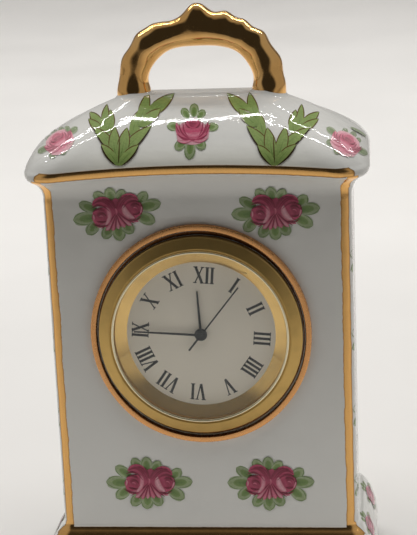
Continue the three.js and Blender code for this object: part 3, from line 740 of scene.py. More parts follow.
# knots along the branch: degrees round the arch, height and spread
KNOTS = ((24, 0.4, 8), (46, 0.7, 8), (59, 0.35, 6), (73, -0.25, 5), (89.4, 2.65, 6.6), (105, 1.4, 7),
         (119, 0.7, 6), (136, 0.75, 7), (160, 0.5, 8))
BRANCH_ROWS = 168
BRANCH_SIDES = 40
ROOT_DEPTH = 0.0024
FOOT_SWELL = 0.18
ARCH_POWER = 0.8
# the white fillets round the branch's feet, in metres
FILLET_WIDE = 0.0015
FILLET_HIGH = 0.0009
FILLET_SUNK = 0.00005
FILLET_ROOT = 0.0008
FILLET_LAP = 0.0003
FILLET_STEPS = 8
FILLET_SIDES = 72
ABOVE_ROOF = 0.13


def arch_point(handle, share):
    angle = share * math.pi
    across = -math.copysign(abs(math.cos(angle)) ** ARCH_POWER, math.cos(angle))
    return Vector((handle.half_span * across, 0, handle.rise * abs(math.sin(angle)) ** ARCH_POWER))


class CLOCK_OT_handle(bpy.types.Operator):
    """Models the knotted gilt branch that arches over the roof"""
    bl_idname = "clock.handle"
    bl_label = "Branch handle"

    def execute(self, context):
        scene = context.scene
        handle = scene.clock_handle
        base = Vector((handle.shift, 0, scene.clock_case.roof_top))
        radius = handle.radius / MM

        def place(column, row):
            share = min(max((row - 1) / (BRANCH_ROWS - 2), 0.0), 1.0)
            centre = arch_point(handle, share)
            if row in (0, BRANCH_ROWS):
                centre.z -= ROOT_DEPTH
            step = 0.002
            along = arch_point(handle, min(share + step, 1)) - arch_point(handle, max(share - step, 0))
            if share in (0.0, 1.0):
                along = Vector((0, 0, 1 if share == 0.0 else -1))
            along.normalize()
            outward = Vector((-along.z, 0, along.x))
            degrees = share * 180
            knot = sum(height * math.exp(-((degrees - spot) / wide) ** 2) for spot, height, wide in KNOTS)
            to_foot = min(share, 1 - share) * 180
            swell = 1 + FOOT_SWELL * math.exp(-((to_foot / 7) ** 2))
            calm = smooth(to_foot / 6)
            angle = 2 * math.pi * column / BRANCH_SIDES
            lean = math.cos(angle)
            reach = radius * swell * lean + (knot * lean if lean > 0 else 0)
            side = (radius - 0.15 + 0.12 * knot) * swell * math.sin(angle)
            spot = Vector((centre.x * 260, math.sin(angle) * 0.9 + 5, centre.z * 260 + math.cos(angle) * 0.9))
            ridge = 0.16 * noise.noise(spot * 0.6) + 0.06 * math.sin(3 * angle + degrees * 0.12)
            grow = 1 + calm * ridge / radius
            return base + centre + outward * (reach * grow * MM) + Vector((0, side * grow * MM, 0))

        bm = bmesh.new()
        wrapped(bm, BRANCH_SIDES, BRANCH_ROWS, place)
        close_ends(bm)
        gold = gold_material(scene, "handle_gold", 0.06, 0.12, 0.85, 0.1)
        add_piece("branch_handle", bm, "case", "gilt", gold, ("handle",), sharp=70)
        return {"FINISHED"}


class CLOCK_OT_handle_feet(bpy.types.Operator):
    """Models the white fillets where the branch grows out of the roof"""
    bl_idname = "clock.handle_feet"
    bl_label = "Handle feet"

    def execute(self, context):
        handle = context.scene.clock_handle
        surface = porcelain_surface()
        inner = (1 + FOOT_SWELL) * handle.radius - FILLET_LAP
        # the section runs out over the fillet, down, back under the roof and up: share outward, sunk or not
        section = [(step / FILLET_STEPS, False) for step in range(FILLET_STEPS + 1)]
        section += [(1.0, True), (0.0, True), (0.0, False)]

        def fillet(middle, column, row):
            share, sunk = section[row]
            angle = 2 * math.pi * column / FILLET_SIDES
            radius = inner + FILLET_WIDE * share
            x = middle + radius * math.cos(angle)
            y = 0.95 * radius * math.sin(angle)
            top = surface.ray_cast(Vector((x, y, ABOVE_ROOF)), -UP)[0]
            rise = -FILLET_ROOT if sunk else FILLET_HIGH * (1 - share) ** 2.5 - FILLET_SUNK
            return Vector((x, y, top.z + rise))

        bm = bmesh.new()
        for side in (-1, 1):
            middle = handle.shift + side * handle.half_span
            wrapped(bm, FILLET_SIDES, len(section) - 1, lambda column, row: fillet(middle, column, row))
        bmesh.ops.remove_doubles(bm, verts=bm.verts, dist=MERGE)
        add_piece("handle_feet", bm, "case", "porcelain", bpy.data.materials["glazed_porcelain"], sharp=60)
        return {"FINISHED"}


# Painting

# brush units to a millimetre, where the brush isn't aimed by the photo's pixels
PER_MM = 4.75
# in metres: from the camera to the clock, for a ray that misses it, and from a face to where its rays start
MISS_RANGE = 0.335
STANDOFF = 0.2
VERTS_IN_HAND = 1500

# double roses on the front: place in the photo's pixels, scale and turn in degrees
FRONT_ROSES = (
    ((116.5, 211.6), 1.0, -4), ((275.4, 211.2), 1.0, 3), ((149.3, 481.5), 0.97, 8), ((270.6, 481.8), 0.98, 7))
# the roof's painting in the photo's pixels: feet of the serrated leaves, and the rose between them
LEFT_ACANTHUS = (118.8, 165.4)
RIGHT_ACANTHUS = (274.4, 165.4)
ROOF_ROSE = (192.6, 131.5)
# roses at the roof's ends: place in pixels, scale, turn in degrees and squash
ROOF_END_ROSES = (((59.5, 142), 0.92, -33, 0.54), ((345.5, 143.5), 0.94, 33, 0.56))
# single leaves at the roof's ends: place in pixels, and foot and tip from there
ROOF_END_LEAVES = (((68, 129), (9, 9), (-9, -6)), ((357.5, 131.5), (-7, -14), (7, 16)))
ROOF_END_LEAF_HALF = 5.0
# how far below the dial's centre each spray on an end is, and the leaves from it that reach the corner
END_SPRAYS = (-69, 9, 86, 159)
CORNER_LEAVES = (((25, -1), (1.5, -9), 5.5), ((25, 2), (2, 8), 5.0))
FOOT_ROSES = ((-38, 4), (38, 4))
BACK_SPRAYS = ((-76, -120), (76, -120), (-62, 152), (62, 152))


def photo_ray(scene, across, down):
    """The camera's ray through a pixel of the photo."""
    stage = scene.clock_stage
    pixels = stage.lens / SENSOR * PHOTO_HEIGHT
    right = Vector(CAMERA_RIGHT) * (across - PHOTO_WIDTH / 2)
    way = Vector(CAMERA_FORWARD) * pixels + right + Vector(CAMERA_UP) * (PHOTO_HEIGHT / 2 - down)
    return Vector(stage.camera_place), way.normalized()


def photo_aim(scene):
    """Aims at what the photo shows: the spot is in pixels."""
    return lambda spot: photo_ray(scene, spot[0], spot[1])


def facing_aim(way, middle, across):
    """Aims square at a face of the case: the spot is in brush units to the right of and below its middle."""
    way, across, middle = Vector(way), Vector(across), Vector(middle) * MM

    def aim(spot):
        offset = across * spot[0] - UP * spot[1]
        return middle + offset * (MM / PER_MM) - way * STANDOFF, way

    return aim


def seen_aim(scene, surface, pixel):
    """Aims square at the place on the case that is seen at a pixel."""
    point, normal, _, _ = surface.ray_cast(*photo_ray(scene, *pixel))
    return facing_aim(-normal, point / MM, UP.cross(normal).normalized())


def porcelain_surface():
    """The case's surface, to cast rays on."""
    bm = bmesh.new()
    bm.from_mesh(bpy.data.objects["porcelain_shell"].data)
    tree = BVHTree.FromBMesh(bm)
    bm.free()
    return tree


def mixed(first, second, share):
    return [lerp(a, b, share) for a, b in zip(first, second)]


def scaled(colour, share):
    return [channel * share for channel in colour]


def bent(start, bend, end, share):
    """A place on a bent line, and the way across the line there."""
    spot = start * (1 - share) ** 2 + bend * (2 * share * (1 - share)) + end * share ** 2
    along = (bend - start) * (2 * (1 - share)) + (end - bend) * (2 * share)
    along = along.normalized() if along.length > 1e-9 else Vector((1, 0))
    return spot, Vector((-along.y, along.x))


def spread(share, half, belly, full):
    """A stroke's half width: none at its ends, most at its belly."""
    return half * (share / belly) ** (belly * full) * ((1 - share) / (1 - belly)) ** ((1 - belly) * full)


class Brush:
    """Lays closed, flattened strokes on the porcelain."""

    def __init__(self, scene, surface, aim):
        self.paint = scene.clock_paint
        self.surface = surface
        self.aim = aim
        self.mesh = bpy.data.meshes.new("painting")
        self.bm = self.fresh()
        self.dice = random.Random(self.paint.seed)
        self.coat = 0
        self.wash = 0.0
        self.glow = 1.0

    def fresh(self):
        bm = bmesh.new()
        self.layer = bm.verts.layers.float_color.new("paint")
        return bm

    def dry(self):
        """Adds the strokes in hand to the finished painting."""
        self.bm.from_mesh(self.mesh)
        self.bm.to_mesh(self.mesh)
        self.bm.free()
        self.bm = self.fresh()

    def land(self, spot):
        """Where a spot falls on the porcelain, and the way out of it there."""
        origin, way = self.aim(spot)
        point, normal, _, _ = self.surface.ray_cast(origin, way)
        if point is None:
            point, normal, _, _ = self.surface.find_nearest(origin + way * MISS_RANGE)
        if normal.dot(way) > 0:
            normal = -normal
        return point, normal

    def stroke(self, start, bend, end, half, tone, tip=None, rim=None, belly=0.5, full=1.5, steps=9, sides=8):
        """A stroke of a half width along a bent line, from tone to tip and rimmed by another colour."""
        start, bend, end = Vector(start), Vector(bend), Vector(end)
        tip = tone if tip is None else tip
        self.coat += 1
        level = self.paint.relief * self.coat
        thick = self.paint.relief * 0.45
        spots = grid_spots(self.bm, sides, steps)
        for vert, column, row in spots:
            share = row / steps
            spot, across = bent(start, bend, end, share)
            width = spread(share, half, belly, full) if 0 < row < steps else 0.0
            angle = 2 * math.pi * (column % sides) / sides
            point, normal = self.land(spot + across * (width * math.cos(angle)))
            rise = thick * math.sin(angle) if width else 0.0
            vert.co = point + normal * (level + rise)
            colour = mixed(tone, tip, share)
            if rim is not None:
                colour = mixed(colour, rim, math.cos(angle) ** 2)
            vert[self.layer] = (*mixed(colour, WHITE, self.wash), 1.0)
        bmesh.ops.remove_doubles(self.bm, verts=[spot[0] for spot in spots], dist=MERGE)
        if len(self.bm.verts) > VERTS_IN_HAND:
            self.dry()

    def outline(self, line, half, side, begin, width, tone, belly, full):
        """A thin line along one side of a stroke, from a share of its length to its tip."""
        def edge(share):
            spot, across = bent(*line, share)
            return spot + across * (side * spread(share, half, belly, full))

        first, middle, last = edge(begin), edge((begin + 1) / 2), line[2]
        turn = middle * 2 - (first + last) / 2
        self.stroke(first, turn, last, width, tone, full=0.8)

    def vary(self, colour, amount=0.12):
        return scaled(colour, 1 + self.dice.uniform(-amount, amount))

    def finish(self, name):
        self.dry()
        self.bm.free()
        enamel = bpy.data.materials.get("rose_enamel") or paint_material()
        add_mesh(name, self.mesh, "case", "porcelain", enamel, sharp=80)


def placed(centre, scale=1.0, turn=0.0, flip=1, squash=1.0):
    """Moves a motif drawn round its own middle to its place, in the brush's units."""
    cos_turn, sin_turn = math.cos(turn), math.sin(turn)

    def move(x, y):
        x *= flip * scale
        y *= squash * scale
        return centre[0] + x * cos_turn - y * sin_turn, centre[1] + x * sin_turn + y * cos_turn

    return move


def paint_leaf(brush, move, base, tip, half, scale=1.0):
    """A soft leaf: a wash that pales to its rim, a darker heart and a thin broken outline."""
    paint = brush.paint
    base, tip = Vector(base), Vector(tip)
    along = tip - base
    side = Vector((-along.y, along.x)).normalized()
    middle = base.lerp(tip, 0.5) + side * brush.dice.uniform(-0.8, 0.8)
    body = brush.vary(paint.leaf)
    brush.stroke(move(*base), move(*middle), move(*tip), half * 1.08 * scale, body, mixed(body, WHITE, 0.12),
                 mixed(body, WHITE, 0.3), belly=0.55, full=1.0)
    heart = base.lerp(tip, 0.74)
    brush.stroke(move(*base.lerp(tip, 0.02)), move(*middle), move(*heart), half * 0.62 * scale,
                 brush.vary(paint.leaf_dark), mixed(paint.leaf_dark, body, 0.6), body, belly=0.45, full=1.1)
    for sign in (-1, 1):
        start = base.lerp(tip, brush.dice.uniform(0.2, 0.4)) + side * (sign * half * 0.9)
        bow = heart + side * (sign * half * 1.25)
        brush.stroke(move(*start), move(*bow), move(*tip), 0.36 * scale,
                     brush.vary(mixed(paint.leaf_dark, paint.leaf, 0.25)), belly=0.6)


def palette(paint):
    return {
        "ink": mixed(paint.rose_dark, paint.outline, 0.5),
        "dark": paint.rose_dark,
        "mid": mixed(paint.rose, paint.rose_dark, 0.5),
        "rose": paint.rose,
        "bright": scaled(paint.rose, 1.22),
        "light": paint.rose_light,
        "pale": mixed(paint.rose_light, WHITE, 0.28),
    }


# two roses back to back among twelve leaves, and one cupped rose with leaves on its four sides
# leaves: foot, tip and half width
# petals: colours of start, tip and rim, where a stroke is widest, how fast it narrows, and the strokes of
# that kind with their start, bend, end and half width
DOUBLE_LEAVES = (
    ((-19, -2), (-37, -10.5), 5.0), ((-20, 4), (-44, 6), 6.4), ((-18, 9), (-31, 21), 5.6),
    ((20, -4), (31, -17.5), 5.4), ((22, -2), (45, -5.5), 5.8), ((20, 4), (38, 13), 5.8),
    ((-9, -10), (-21, -21), 4.9), ((-3, -10), (-7, -25), 5.4), ((1, -10), (8.5, -22.5), 4.8),
    ((-5, 12), (-14, 27), 5.4), ((0, 12), (2.5, 29), 6.0), ((5, 11), (16, 23), 5.4))

DOUBLE_PETALS = (
    ("rose mid bright", 0.5, 0.9, ((-25, 4.5, -15, 3.5, -4, 5, 9.4), (26, -1, 16, -2, 4, 2, 9.4))),
    ("rose mid bright", 0.5, 1.4, ((-24, -8, -12, -18, 1, 1, 5.2), (23, -10, 10, -20, -1, 1, 5.2))),
    ("rose rose bright", 0.5, 1.0, ((-15, 13, 0, 5, 17, 10, 6.4),)),
    ("mid rose rose", 0.45, 1.0, ((0, -14, 0, 0, 0, 15, 7.4),)),
    ("rose light rose", 0.65, 1.4, ((0, 2, -7, 12, -20, 14, 1.9),)),
    ("rose pale rose", 0.65, 1.4, ((0, 3, -5, 13, -12, 18, 2.0),)),
    ("rose light rose", 0.65, 1.4, ((0, 3, -2.5, 12, -5, 19, 1.9),)),
    ("rose pale rose", 0.65, 1.4, ((0, 3, 0.5, 12, 1, 17.5, 1.9),)),
    ("rose light rose", 0.65, 1.4, ((0, 3, 3.5, 11, 8, 16, 1.9),)),
    ("rose pale rose", 0.65, 1.4, ((0, 2, 6, 10, 15, 14.5, 2.0),)),
    ("rose light rose", 0.65, 1.4, ((1, 1, 9, 8, 22, 11, 1.8),)),
    ("dark dark dark", 0.55, 1.5, ((0, 0, -6, 10, -17, 16.5, 0.75),)),
    ("dark mid dark", 0.55, 1.5, ((0, 1, -4, 12, -9, 19.5, 0.75), (0, 1, -1, 11, -2.5, 18, 0.75),
        (0, 1, 1.5, 11, 4.5, 16.5, 0.75))),
    ("dark dark dark", 0.55, 1.5, ((0, 0, 5, 9, 11.5, 15.5, 0.75), (1, 0, 8, 8, 19, 13, 0.75))),
    ("light pale rose", 0.5, 1.2, ((-10, -6, -3.5, 3, -12, 13, 2.7),)),
    ("pale pale rose", 0.5, 1.2, ((8, -7, 6.5, 3, 18, 7.5, 3.5),)),
    ("dark mid rose", 0.5, 1.1, ((-20, 2, -14, 1, -10.5, 8, 4.8), (15, -7, 21, -4, 20, 4, 4.4))),
    ("dark mid dark", 0.4, 1.5, ((-23, -9, -13, -17, -4, -2, 0.75),
        (-19.5, -12, -9, -16, -2, -1, 0.75), (-14, -14, -6, -14, -1, -3, 0.75))),
    ("ink mid dark", 0.4, 1.5, ((-25, -5, -15, -12, -6, 0, 0.85), (-7, -14, -2, -10, 0, -2, 0.8))),
    ("dark mid dark", 0.4, 1.5, ((22.5, -11, 12, -19, 4, -2, 0.75), (18, -15, 9, -17, 2, -2, 0.75),
        (12.5, -16, 5, -15, 1, -4, 0.75))),
    ("ink mid dark", 0.4, 1.5, ((24, -7.5, 15, -14, 6, -2, 0.85), (7, -15, 2, -11, 0, -3, 0.8))),
    ("ink dark dark", 0.5, 1.5, ((-24, -1, -19, -6, -11, -2, 0.8), (-25, 10, -17, 15.5, -8, 12, 0.8))),
    ("dark ink dark", 0.5, 1.5, ((-20, 8, -15, 11, -10, 8, 0.8), (-19, 1, -13, -2, -10, 4, 0.8))),
    ("light rose rose", 0.5, 1.5, ((-17.5, 3.5, -15, 1.5, -13, 4.5, 0.8),)),
    ("ink dark dark", 0.5, 1.5, ((24, -9, 28, -2, 24, 5, 0.8), (12, 8, 19, 12, 25, 5.5, 0.8))),
    ("dark ink dark", 0.5, 1.5, ((14, -5, 20, -9, 24, -4, 0.8), (16, 3, 21, 5, 24, 1, 0.8))),
    ("light rose rose", 0.5, 1.5, ((17, -3, 20, -4.5, 21.5, -1, 0.8),)),
    ("pale light rose", 0.5, 1.3, ((-23.5, 0.5, -22, 3.5, -23, 7, 1.1),
        (25.5, -4, 25.5, -0.5, 24, 3, 1.1))),
    ("light rose rose", 0.5, 1.3, ((-1, -4, 1.5, -1, -0.5, 3, 1.1),))
)

SINGLE_LEAVES = (
    ((-4, -13), (-10, -23.5), 3.9), ((1, -14), (2, -28), 4.4), ((5, -13), (12, -22), 3.7),
    ((-12, -4), (-26, -5), 4.3), ((12, -4), (26, -5), 4.2),
    ((-7, 8), (-18, 18), 4.6), ((-2, 8), (-3, 28), 5.2), ((3, 8), (12, 17), 4.8))

SINGLE_PETALS = (
    ("light light pale", 0.5, 0.85, ((-17, -1, 0, 5, 17, -2, 12.0),)),
    ("bright bright light", 0.5, 0.85, ((-13, -1, 0, 3, 13, -2, 10.0),)),
    ("light bright bright", 0.5, 1.2, ((-16, -9, -15, 6, -2, 10, 2.6), (15, -9, 15, 5, 3, 9, 2.6))),
    ("rose rose bright", 0.5, 1.0, ((-6, -10, 0, -5, 7, -10, 5.2),)),
    ("dark mid rose", 0.5, 1.1, ((-4, -9, 0, -5, 4.5, -9, 2.4),)),
    ("dark rose rose", 0.5, 1.3, ((-3, -6, 0, -4, 3.5, -6, 1.3),)),
    ("light light bright", 0.5, 1.2, ((-9, 1, 0, 8, 10, 1, 2.6),)),
    ("dark rose mid", 0.5, 1.5, ((-13, -8, -14, 3, -2, 8, 0.8), (13, -8, 14, 2, 5, 7, 0.8),
        (-9.5, -9, -10, 1, -4, 6, 0.7), (10, -10, 11, -1, 6, 5, 0.7), (-16, 3, -6, 11, 3, 8, 0.9),
        (15, 3, 7, 11, -2, 8.5, 0.9))),
    ("pale light bright", 0.5, 1.3, ((-16, 9, -8, 13, -1, 9, 1.6), (15, 7, 8, 12, 1, 9.5, 1.5))),
    ("dark rose mid", 0.5, 1.5, ((16, -11, 15, -4, 12, 2, 0.7), (18, -8, 16, -2, 13, 3, 0.6),
        (-17, -6, -15, -1, -12, 3, 0.6))),
    ("dark mid mid", 0.5, 1.5, ((-7, -11, -8, -5, -2, -3, 0.7), (8, -11, 8, -5, 3, -3, 0.7)))
)


def paint_rose(brush, leaves, petals, centre, scale, turn=0.0, flip=1, squash=1.0):
    """Leaves first, then petals over them."""
    brush.coat = 0
    move = placed(centre, scale, turn, flip, squash)
    for base, tip, half in leaves:
        shift = Vector((brush.dice.uniform(-0.7, 0.7), brush.dice.uniform(-0.7, 0.7)))
        paint_leaf(brush, move, base, Vector(tip) + shift, half * (0.5 + 0.5 * squash), scale)
    colours = palette(brush.paint)
    for names, belly, full, strokes in petals:
        tone, tip, rim = [scaled(colours[name], brush.glow) for name in names.split()]
        for x, y, bend_x, bend_y, end_x, end_y, half in strokes:
            brush.stroke(move(x, y), move(bend_x, bend_y), move(end_x, end_y), half * scale,
                         brush.vary(tone, 0.07), tip, rim, belly, full)


def paint_double_rose(brush, centre, scale=1.0, turn=0.0):
    paint_rose(brush, DOUBLE_LEAVES, DOUBLE_PETALS, centre, scale, turn)


def paint_single_rose(brush, centre, scale, turn=0.0, flip=1, squash=1.0):
    paint_rose(brush, SINGLE_LEAVES, SINGLE_PETALS, centre, scale, turn, flip, squash)


# lobes of the serrated leaf from its foot: root, bend, tip, half width and the side with a bold outline
LOBES = (
    ((-14, -30), (-8, -42), (-8, -56), 4.6, 0), ((-15, -36), (-14, -49), (-11.6, -61.5), 3.2, 0),
    ((-15, -33), (-22, -46), (-29, -53.5), 4.4, 0), ((-13, -29), (-22, -39), (-30.4, -46.5), 3.8, 0),
    ((13, -28), (16, -43), (22, -56), 4.2, 0), ((19, -38), (26, -57), (29.5, -73), 4.6, 0),
    ((24, -46), (40, -59), (56, -72), 5.4, 0), ((20, -39), (32, -47), (42, -56.5), 4.6, 0),
    ((-1, -8), (-11.5, -26), (-25.6, -38), 4.7, -1), ((1, -8), (15, -25), (33, -39.5), 4.9, 1),
    ((-1, -3), (-6, -22), (-3.5, -38.5), 5.0, 0), ((1, -3), (5, -22), (8.5, -37.5), 5.0, 0),
    ((0, 0.5), (-9.5, -13), (-17.8, -20.5), 3.8, -1), ((0, 0.5), (10.5, -12), (20.2, -20), 3.8, 1))
STEMS = (
    ((-2, -4), (-8, -22), (-16, -44), 7.0), ((2, -4), (13, -24), (28, -56), 7.0))
LOBE_WIDEN = 1.12
LOBE_BELLY = 0.42
LOBE_FULL = 1.2


def paint_acanthus(brush, base, warp, flip=1):
    """A V of serrated leaves with darker veins, bold outlines below and fine gilt ones above."""
    paint = brush.paint
    brush.coat = 0
    leaf = [channel * share for channel, share in zip(paint.leaf, (1.3, 1.25, 1.1))]
    gilt = mixed(paint.outline, (0.62, 0.42, 0.08), 0.14)

    def move(*spots):
        places = [warp(*spot) for spot in spots]
        return [Vector((base[0] + x, base[1] + y)) for x, y in places]

    for root, bend, tip, half in STEMS:
        brush.stroke(*move(root, bend, tip), half, leaf, leaf, mixed(leaf, WHITE, 0.12), full=0.8)
    for root, bend, tip, half, bold in LOBES:
        body = brush.vary(leaf, 0.07)
        line = move(root, bend, tip)
        wide = half * LOBE_WIDEN
        shade, rim = mixed(body, paint.leaf_dark, 0.55), mixed(body, paint.leaf_dark, 0.12)
        brush.stroke(*line, wide, shade, body, rim, LOBE_BELLY, LOBE_FULL, steps=12)
        near, far = line[0].lerp(line[1], 0.35), line[1].lerp(line[2], 0.6)
        vein = mixed(paint.leaf_dark, leaf, 0.1)
        brush.stroke(near, line[1], far, half * 0.3, vein, leaf, leaf, belly=0.35)
        for side in (-1, 1):
            begin, width, tone = (0.05, 0.85, paint.outline) if side == bold else (0.42, 0.55, gilt)
            brush.outline(line, wide, side * flip, begin, width, tone, LOBE_BELLY, LOBE_FULL)
    brush.stroke(*move((0, -1), (0.4, -14), (1.2, -28)), 0.55, paint.outline, gilt, full=0.8)


def mirrored_leaf(x, y):
    """The right-hand V is the left one mirrored, with its outer leaf leaning out."""
    if x > 0:
        return -0.85 * x, y
    return -1.15 * x + 0.3 * max(0.0, -y - 15), y


class CLOCK_OT_front_sprays(bpy.types.Operator):
    """Paints the four double roses on the front panel"""
    bl_idname = "clock.front_sprays"
    bl_label = "Front sprays"

    def execute(self, context):
        scene = context.scene
        brush = Brush(scene, porcelain_surface(), photo_aim(scene))
        for pixel, scale, turn in FRONT_ROSES:
            paint_double_rose(brush, pixel, scale, math.radians(turn))
        brush.finish("front_sprays")
        return {"FINISHED"}


class CLOCK_OT_roof_painting(bpy.types.Operator):
    """Paints the roses and serrated leaves on the front of the roof"""
    bl_idname = "clock.roof_painting"
    bl_label = "Roof painting"

    def execute(self, context):
        scene = context.scene
        brush = Brush(scene, porcelain_surface(), photo_aim(scene))
        paint_acanthus(brush, LEFT_ACANTHUS, lambda x, y: (x, y))
        paint_acanthus(brush, RIGHT_ACANTHUS, mirrored_leaf, -1)
        brush.glow = 0.95
        paint_single_rose(brush, ROOF_ROSE, 1.0)
        brush.wash = 0.2
        brush.glow = 1.3
        for pixel, scale, turn, squash in ROOF_END_ROSES:
            paint_single_rose(brush, pixel, scale, math.radians(turn), 1, squash)
        for pixel, base, tip in ROOF_END_LEAVES:
            brush.aim = seen_aim(scene, brush.surface, pixel)
            paint_leaf(brush, placed((0, 0)), base, tip, ROOF_END_LEAF_HALF)
        brush.finish("roof_painting")
        return {"FINISHED"}


class CLOCK_OT_side_sprays(bpy.types.Operator):
    """Paints the sprays on the two ends, the back and the foot"""
    bl_idname = "clock.side_sprays"
    bl_label = "Side and back sprays"

    def execute(self, context):
        scene = context.scene
        surface = porcelain_surface()
        brush = Brush(scene, surface, None)
        slant = 0.7071
        for side in (-1, 1):
            brush.aim = facing_aim((-side, 0, 0), (side * 30, 0, 56), (0, side, 0))
            for down in END_SPRAYS:
                paint_double_rose(brush, (0, down), 1.1)
            brush.aim = facing_aim((-side * slant, slant, 0), (side * 30, -15, 56), (side * slant, slant, 0))
            for down in END_SPRAYS:
                brush.coat = 0
                for base, tip, half in CORNER_LEAVES:
                    paint_leaf(brush, placed((0, down)), base, tip, half)
            brush.aim = facing_aim((-side * 0.8, 0, -0.6), (side * 32, 0, 11), (0, side, 0))
            for spot in FOOT_ROSES:
                paint_single_rose(brush, spot, 0.95, 0.0, side, 0.75)
        brush.finish("end_sprays")
        brush = Brush(scene, surface, facing_aim((0, -1, 0), (0, 15.5, 56), (-1, 0, 0)))
        for spot in BACK_SPRAYS:
            paint_double_rose(brush, spot)
        brush.aim = facing_aim((0, -0.8, -0.6), (0, 12, 97), (-1, 0, 0))
        paint_single_rose(brush, (0, 0), 0.95)
        brush.finish("back_sprays")
        return {"FINISHED"}


# Insert

# the bezel's rounded inner rim in millimetres: middle of its section, radius and steps
BEAD_RADIUS = 17.74
BEAD_LEVEL = 2.07
BEAD_ROUND = 0.28
BEAD_STEPS = 14
BEAD_ANGLES = [math.pi * k / BEAD_STEPS for k in range(BEAD_STEPS + 1)]
BEAD = [(BEAD_RADIUS + BEAD_ROUND * math.cos(a), BEAD_LEVEL + BEAD_ROUND * math.sin(a)) for a in BEAD_ANGLES]
# sections of the turned pieces: radius, and level from the front of the body
PROFILES = {
    "bezel": [
        (18.1, -0.58), (20.5, -0.58), (20.65, -0.4), (20.65, 1.0), (20.6, 1.15), (20.45, 1.28), (20.3, 1.36),
        (18.6, 2.2), (18.48, 2.25), (18.3, 2.25), (18.22, 2.2), (18.14, 2.05), (18.08, 2.02), *BEAD,
        (17.75, 2.05), (17.75, -1.6), (18.1, -1.6)],
    "reflector_ring": [
        (15.1, -0.38), (15.16, -0.34), (17.2, 1.24), (17.28, 1.28), (17.6, 1.28), (17.6, -0.38)],
    "dial": [(1.0, -0.8), (17.6, -0.8), (17.6, -0.4), (1.0, -0.4)],
    "insert_case": [
        (16.9, -9.5), (17.5, -9.5), (17.6, -9.4), (17.6, -0.82), (16.9, -0.82)],
    "grip_ring": [
        (17.65, -3.0), (17.9, -3.0), (18.05, -2.85), (18.15, -2.6), (18.15, -2.1), (18.05, -1.88),
        (17.9, -1.75), (17.65, -1.75)],
}
TURNED_STEPS = 160
# plain finishes: name, colour, roughness from and to, metal, grain, change of tone, relief, grain's stretch
RUBBER = ("grip_rubber", (0.03, 0.03, 0.03), 0.6, 0.85, 0.0, 3.0, 0.3, 0.3)
INK = ("dial_ink", (0.005, 0.005, 0.0055), 0.5, 0.65, 0.0, 6.0, 0.25, 0.05)
FINISHES = {
    "black": ("satin_black", (0.005, 0.005, 0.0055), 0.45, 0.6, 0.0, 3.0, 0.3, 0.05),
    "nylon": ("white_nylon", (0.78, 0.77, 0.72), 0.45, 0.6, 0.0, 1.2, 0.05, 0.1),
    "nickel": ("nickel_plate", (0.62, 0.61, 0.57), 0.2, 0.34, 1.0, 1.5, 0.1, 0.1, (1, 1, 8)),
    "steel": ("bright_steel", (0.48, 0.49, 0.51), 0.22, 0.38, 1.0, 2.5, 0.12, 0.12, (8, 1, 1)),
    "copper": ("copper_winding", (0.55, 0.2, 0.08), 0.25, 0.4, 1.0, 5.0, 0.25, 0.6, (6, 1, 1)),
    "board": ("board_green", (0.03, 0.16, 0.07), 0.4, 0.55, 0.0, 1.0, 0.2, 0.1),
}
# brass finishes: name, share of the brass's colour, roughness from and to, grain, relief, metal and bead, the
# radius within which it is polished and a painted highlight is laid
SATIN_BRASS = ("satin_brass", 0.9, 0.26, 0.42, 9.0, 0.5, 0.87, 18.04)
POLISHED_BRASS = ("polished_brass", 1.32, 0.06, 0.12, 5.0, 0.1, 0.8)
CUP_BRASS = ("cup_brass", 1.0, 0.2, 0.35, 4.0, 0.2)
MOVEMENT_BRASS = ("movement_brass", 1.1, 0.2, 0.36, 3.0, 0.15)


def turned_piece(scene, node, slot, material, sharp=35.0):
    bm = bmesh.new()
    turned(bm, PROFILES[node], TURNED_STEPS)
    bm.transform(insert_matrix(scene))
    add_piece("turned_" + node, bm, "insert", slot, material, (node,), sharp)


class CLOCK_OT_insert(bpy.types.Operator):
    """Turns the bezel, reflector cone, dial, cup and grip ring of the insert"""
    bl_idname = "clock.insert"
    bl_label = "Clock insert"

    def execute(self, context):
        scene = context.scene
        turned_piece(scene, "bezel", "brass", brass_material(scene, *SATIN_BRASS), 22)
        turned_piece(scene, "reflector_ring", "polished_brass", brass_material(scene, *POLISHED_BRASS), 22)
        turned_piece(scene, "dial", "dial_paint", dial_material(scene))
        turned_piece(scene, "insert_case", "brass", brass_material(scene, *CUP_BRASS))
        turned_piece(scene, "grip_ring", "rubber", plain_material(*RUBBER), 60)
        return {"FINISHED"}


def bar(bm, start, end, width, front, back):
    """A straight bar between two points of the dial, in millimetres."""
    start, end = Vector(start), Vector(end)
    along = end - start
    made = bmesh.ops.create_cube(bm, size=1.0)["verts"]
    bmesh.ops.scale(bm, verts=made, vec=(width, along.length, front - back))
    turn = Matrix.Rotation(math.atan2(along.y, along.x) - math.pi / 2, 3, "Z")
    bmesh.ops.rotate(bm, verts=made, cent=(0, 0, 0), matrix=turn)
    middle = (start + end) / 2
    bmesh.ops.translate(bm, verts=made, vec=(middle.x, middle.y, (front + back) / 2))
    return made


# numerals in millimetres: widths of the letters and of their bars, and the print's front and back
LETTER_WIDTHS = {"I": 1.02, "V": 2.25, "X": 2.3}
THICK = 0.53
THIN = 0.25
SERIF = 0.19
PRINT_FRONT = 0.012
PRINT_BACK = -0.02
PRINT_STEP = 0.002
DIAL_LEVEL = -0.4
# each letter's bars: x and share of the height at start and end, lift of the end, width and coat
LETTER_BARS = {
    "I": ((0.51, 0, 0.51, 1, 0, THICK, 0),),
    "V": ((0.42, 1, 1.15, 0, 0, THICK, 0), (1.85, 1, 1.2, 0, 0.1, THIN, 1)),
    "X": ((0.4, 1, 1.9, 0, 0, THICK, 0), (1.85, 1, 0.42, 0, 0, THIN, 1)),
}
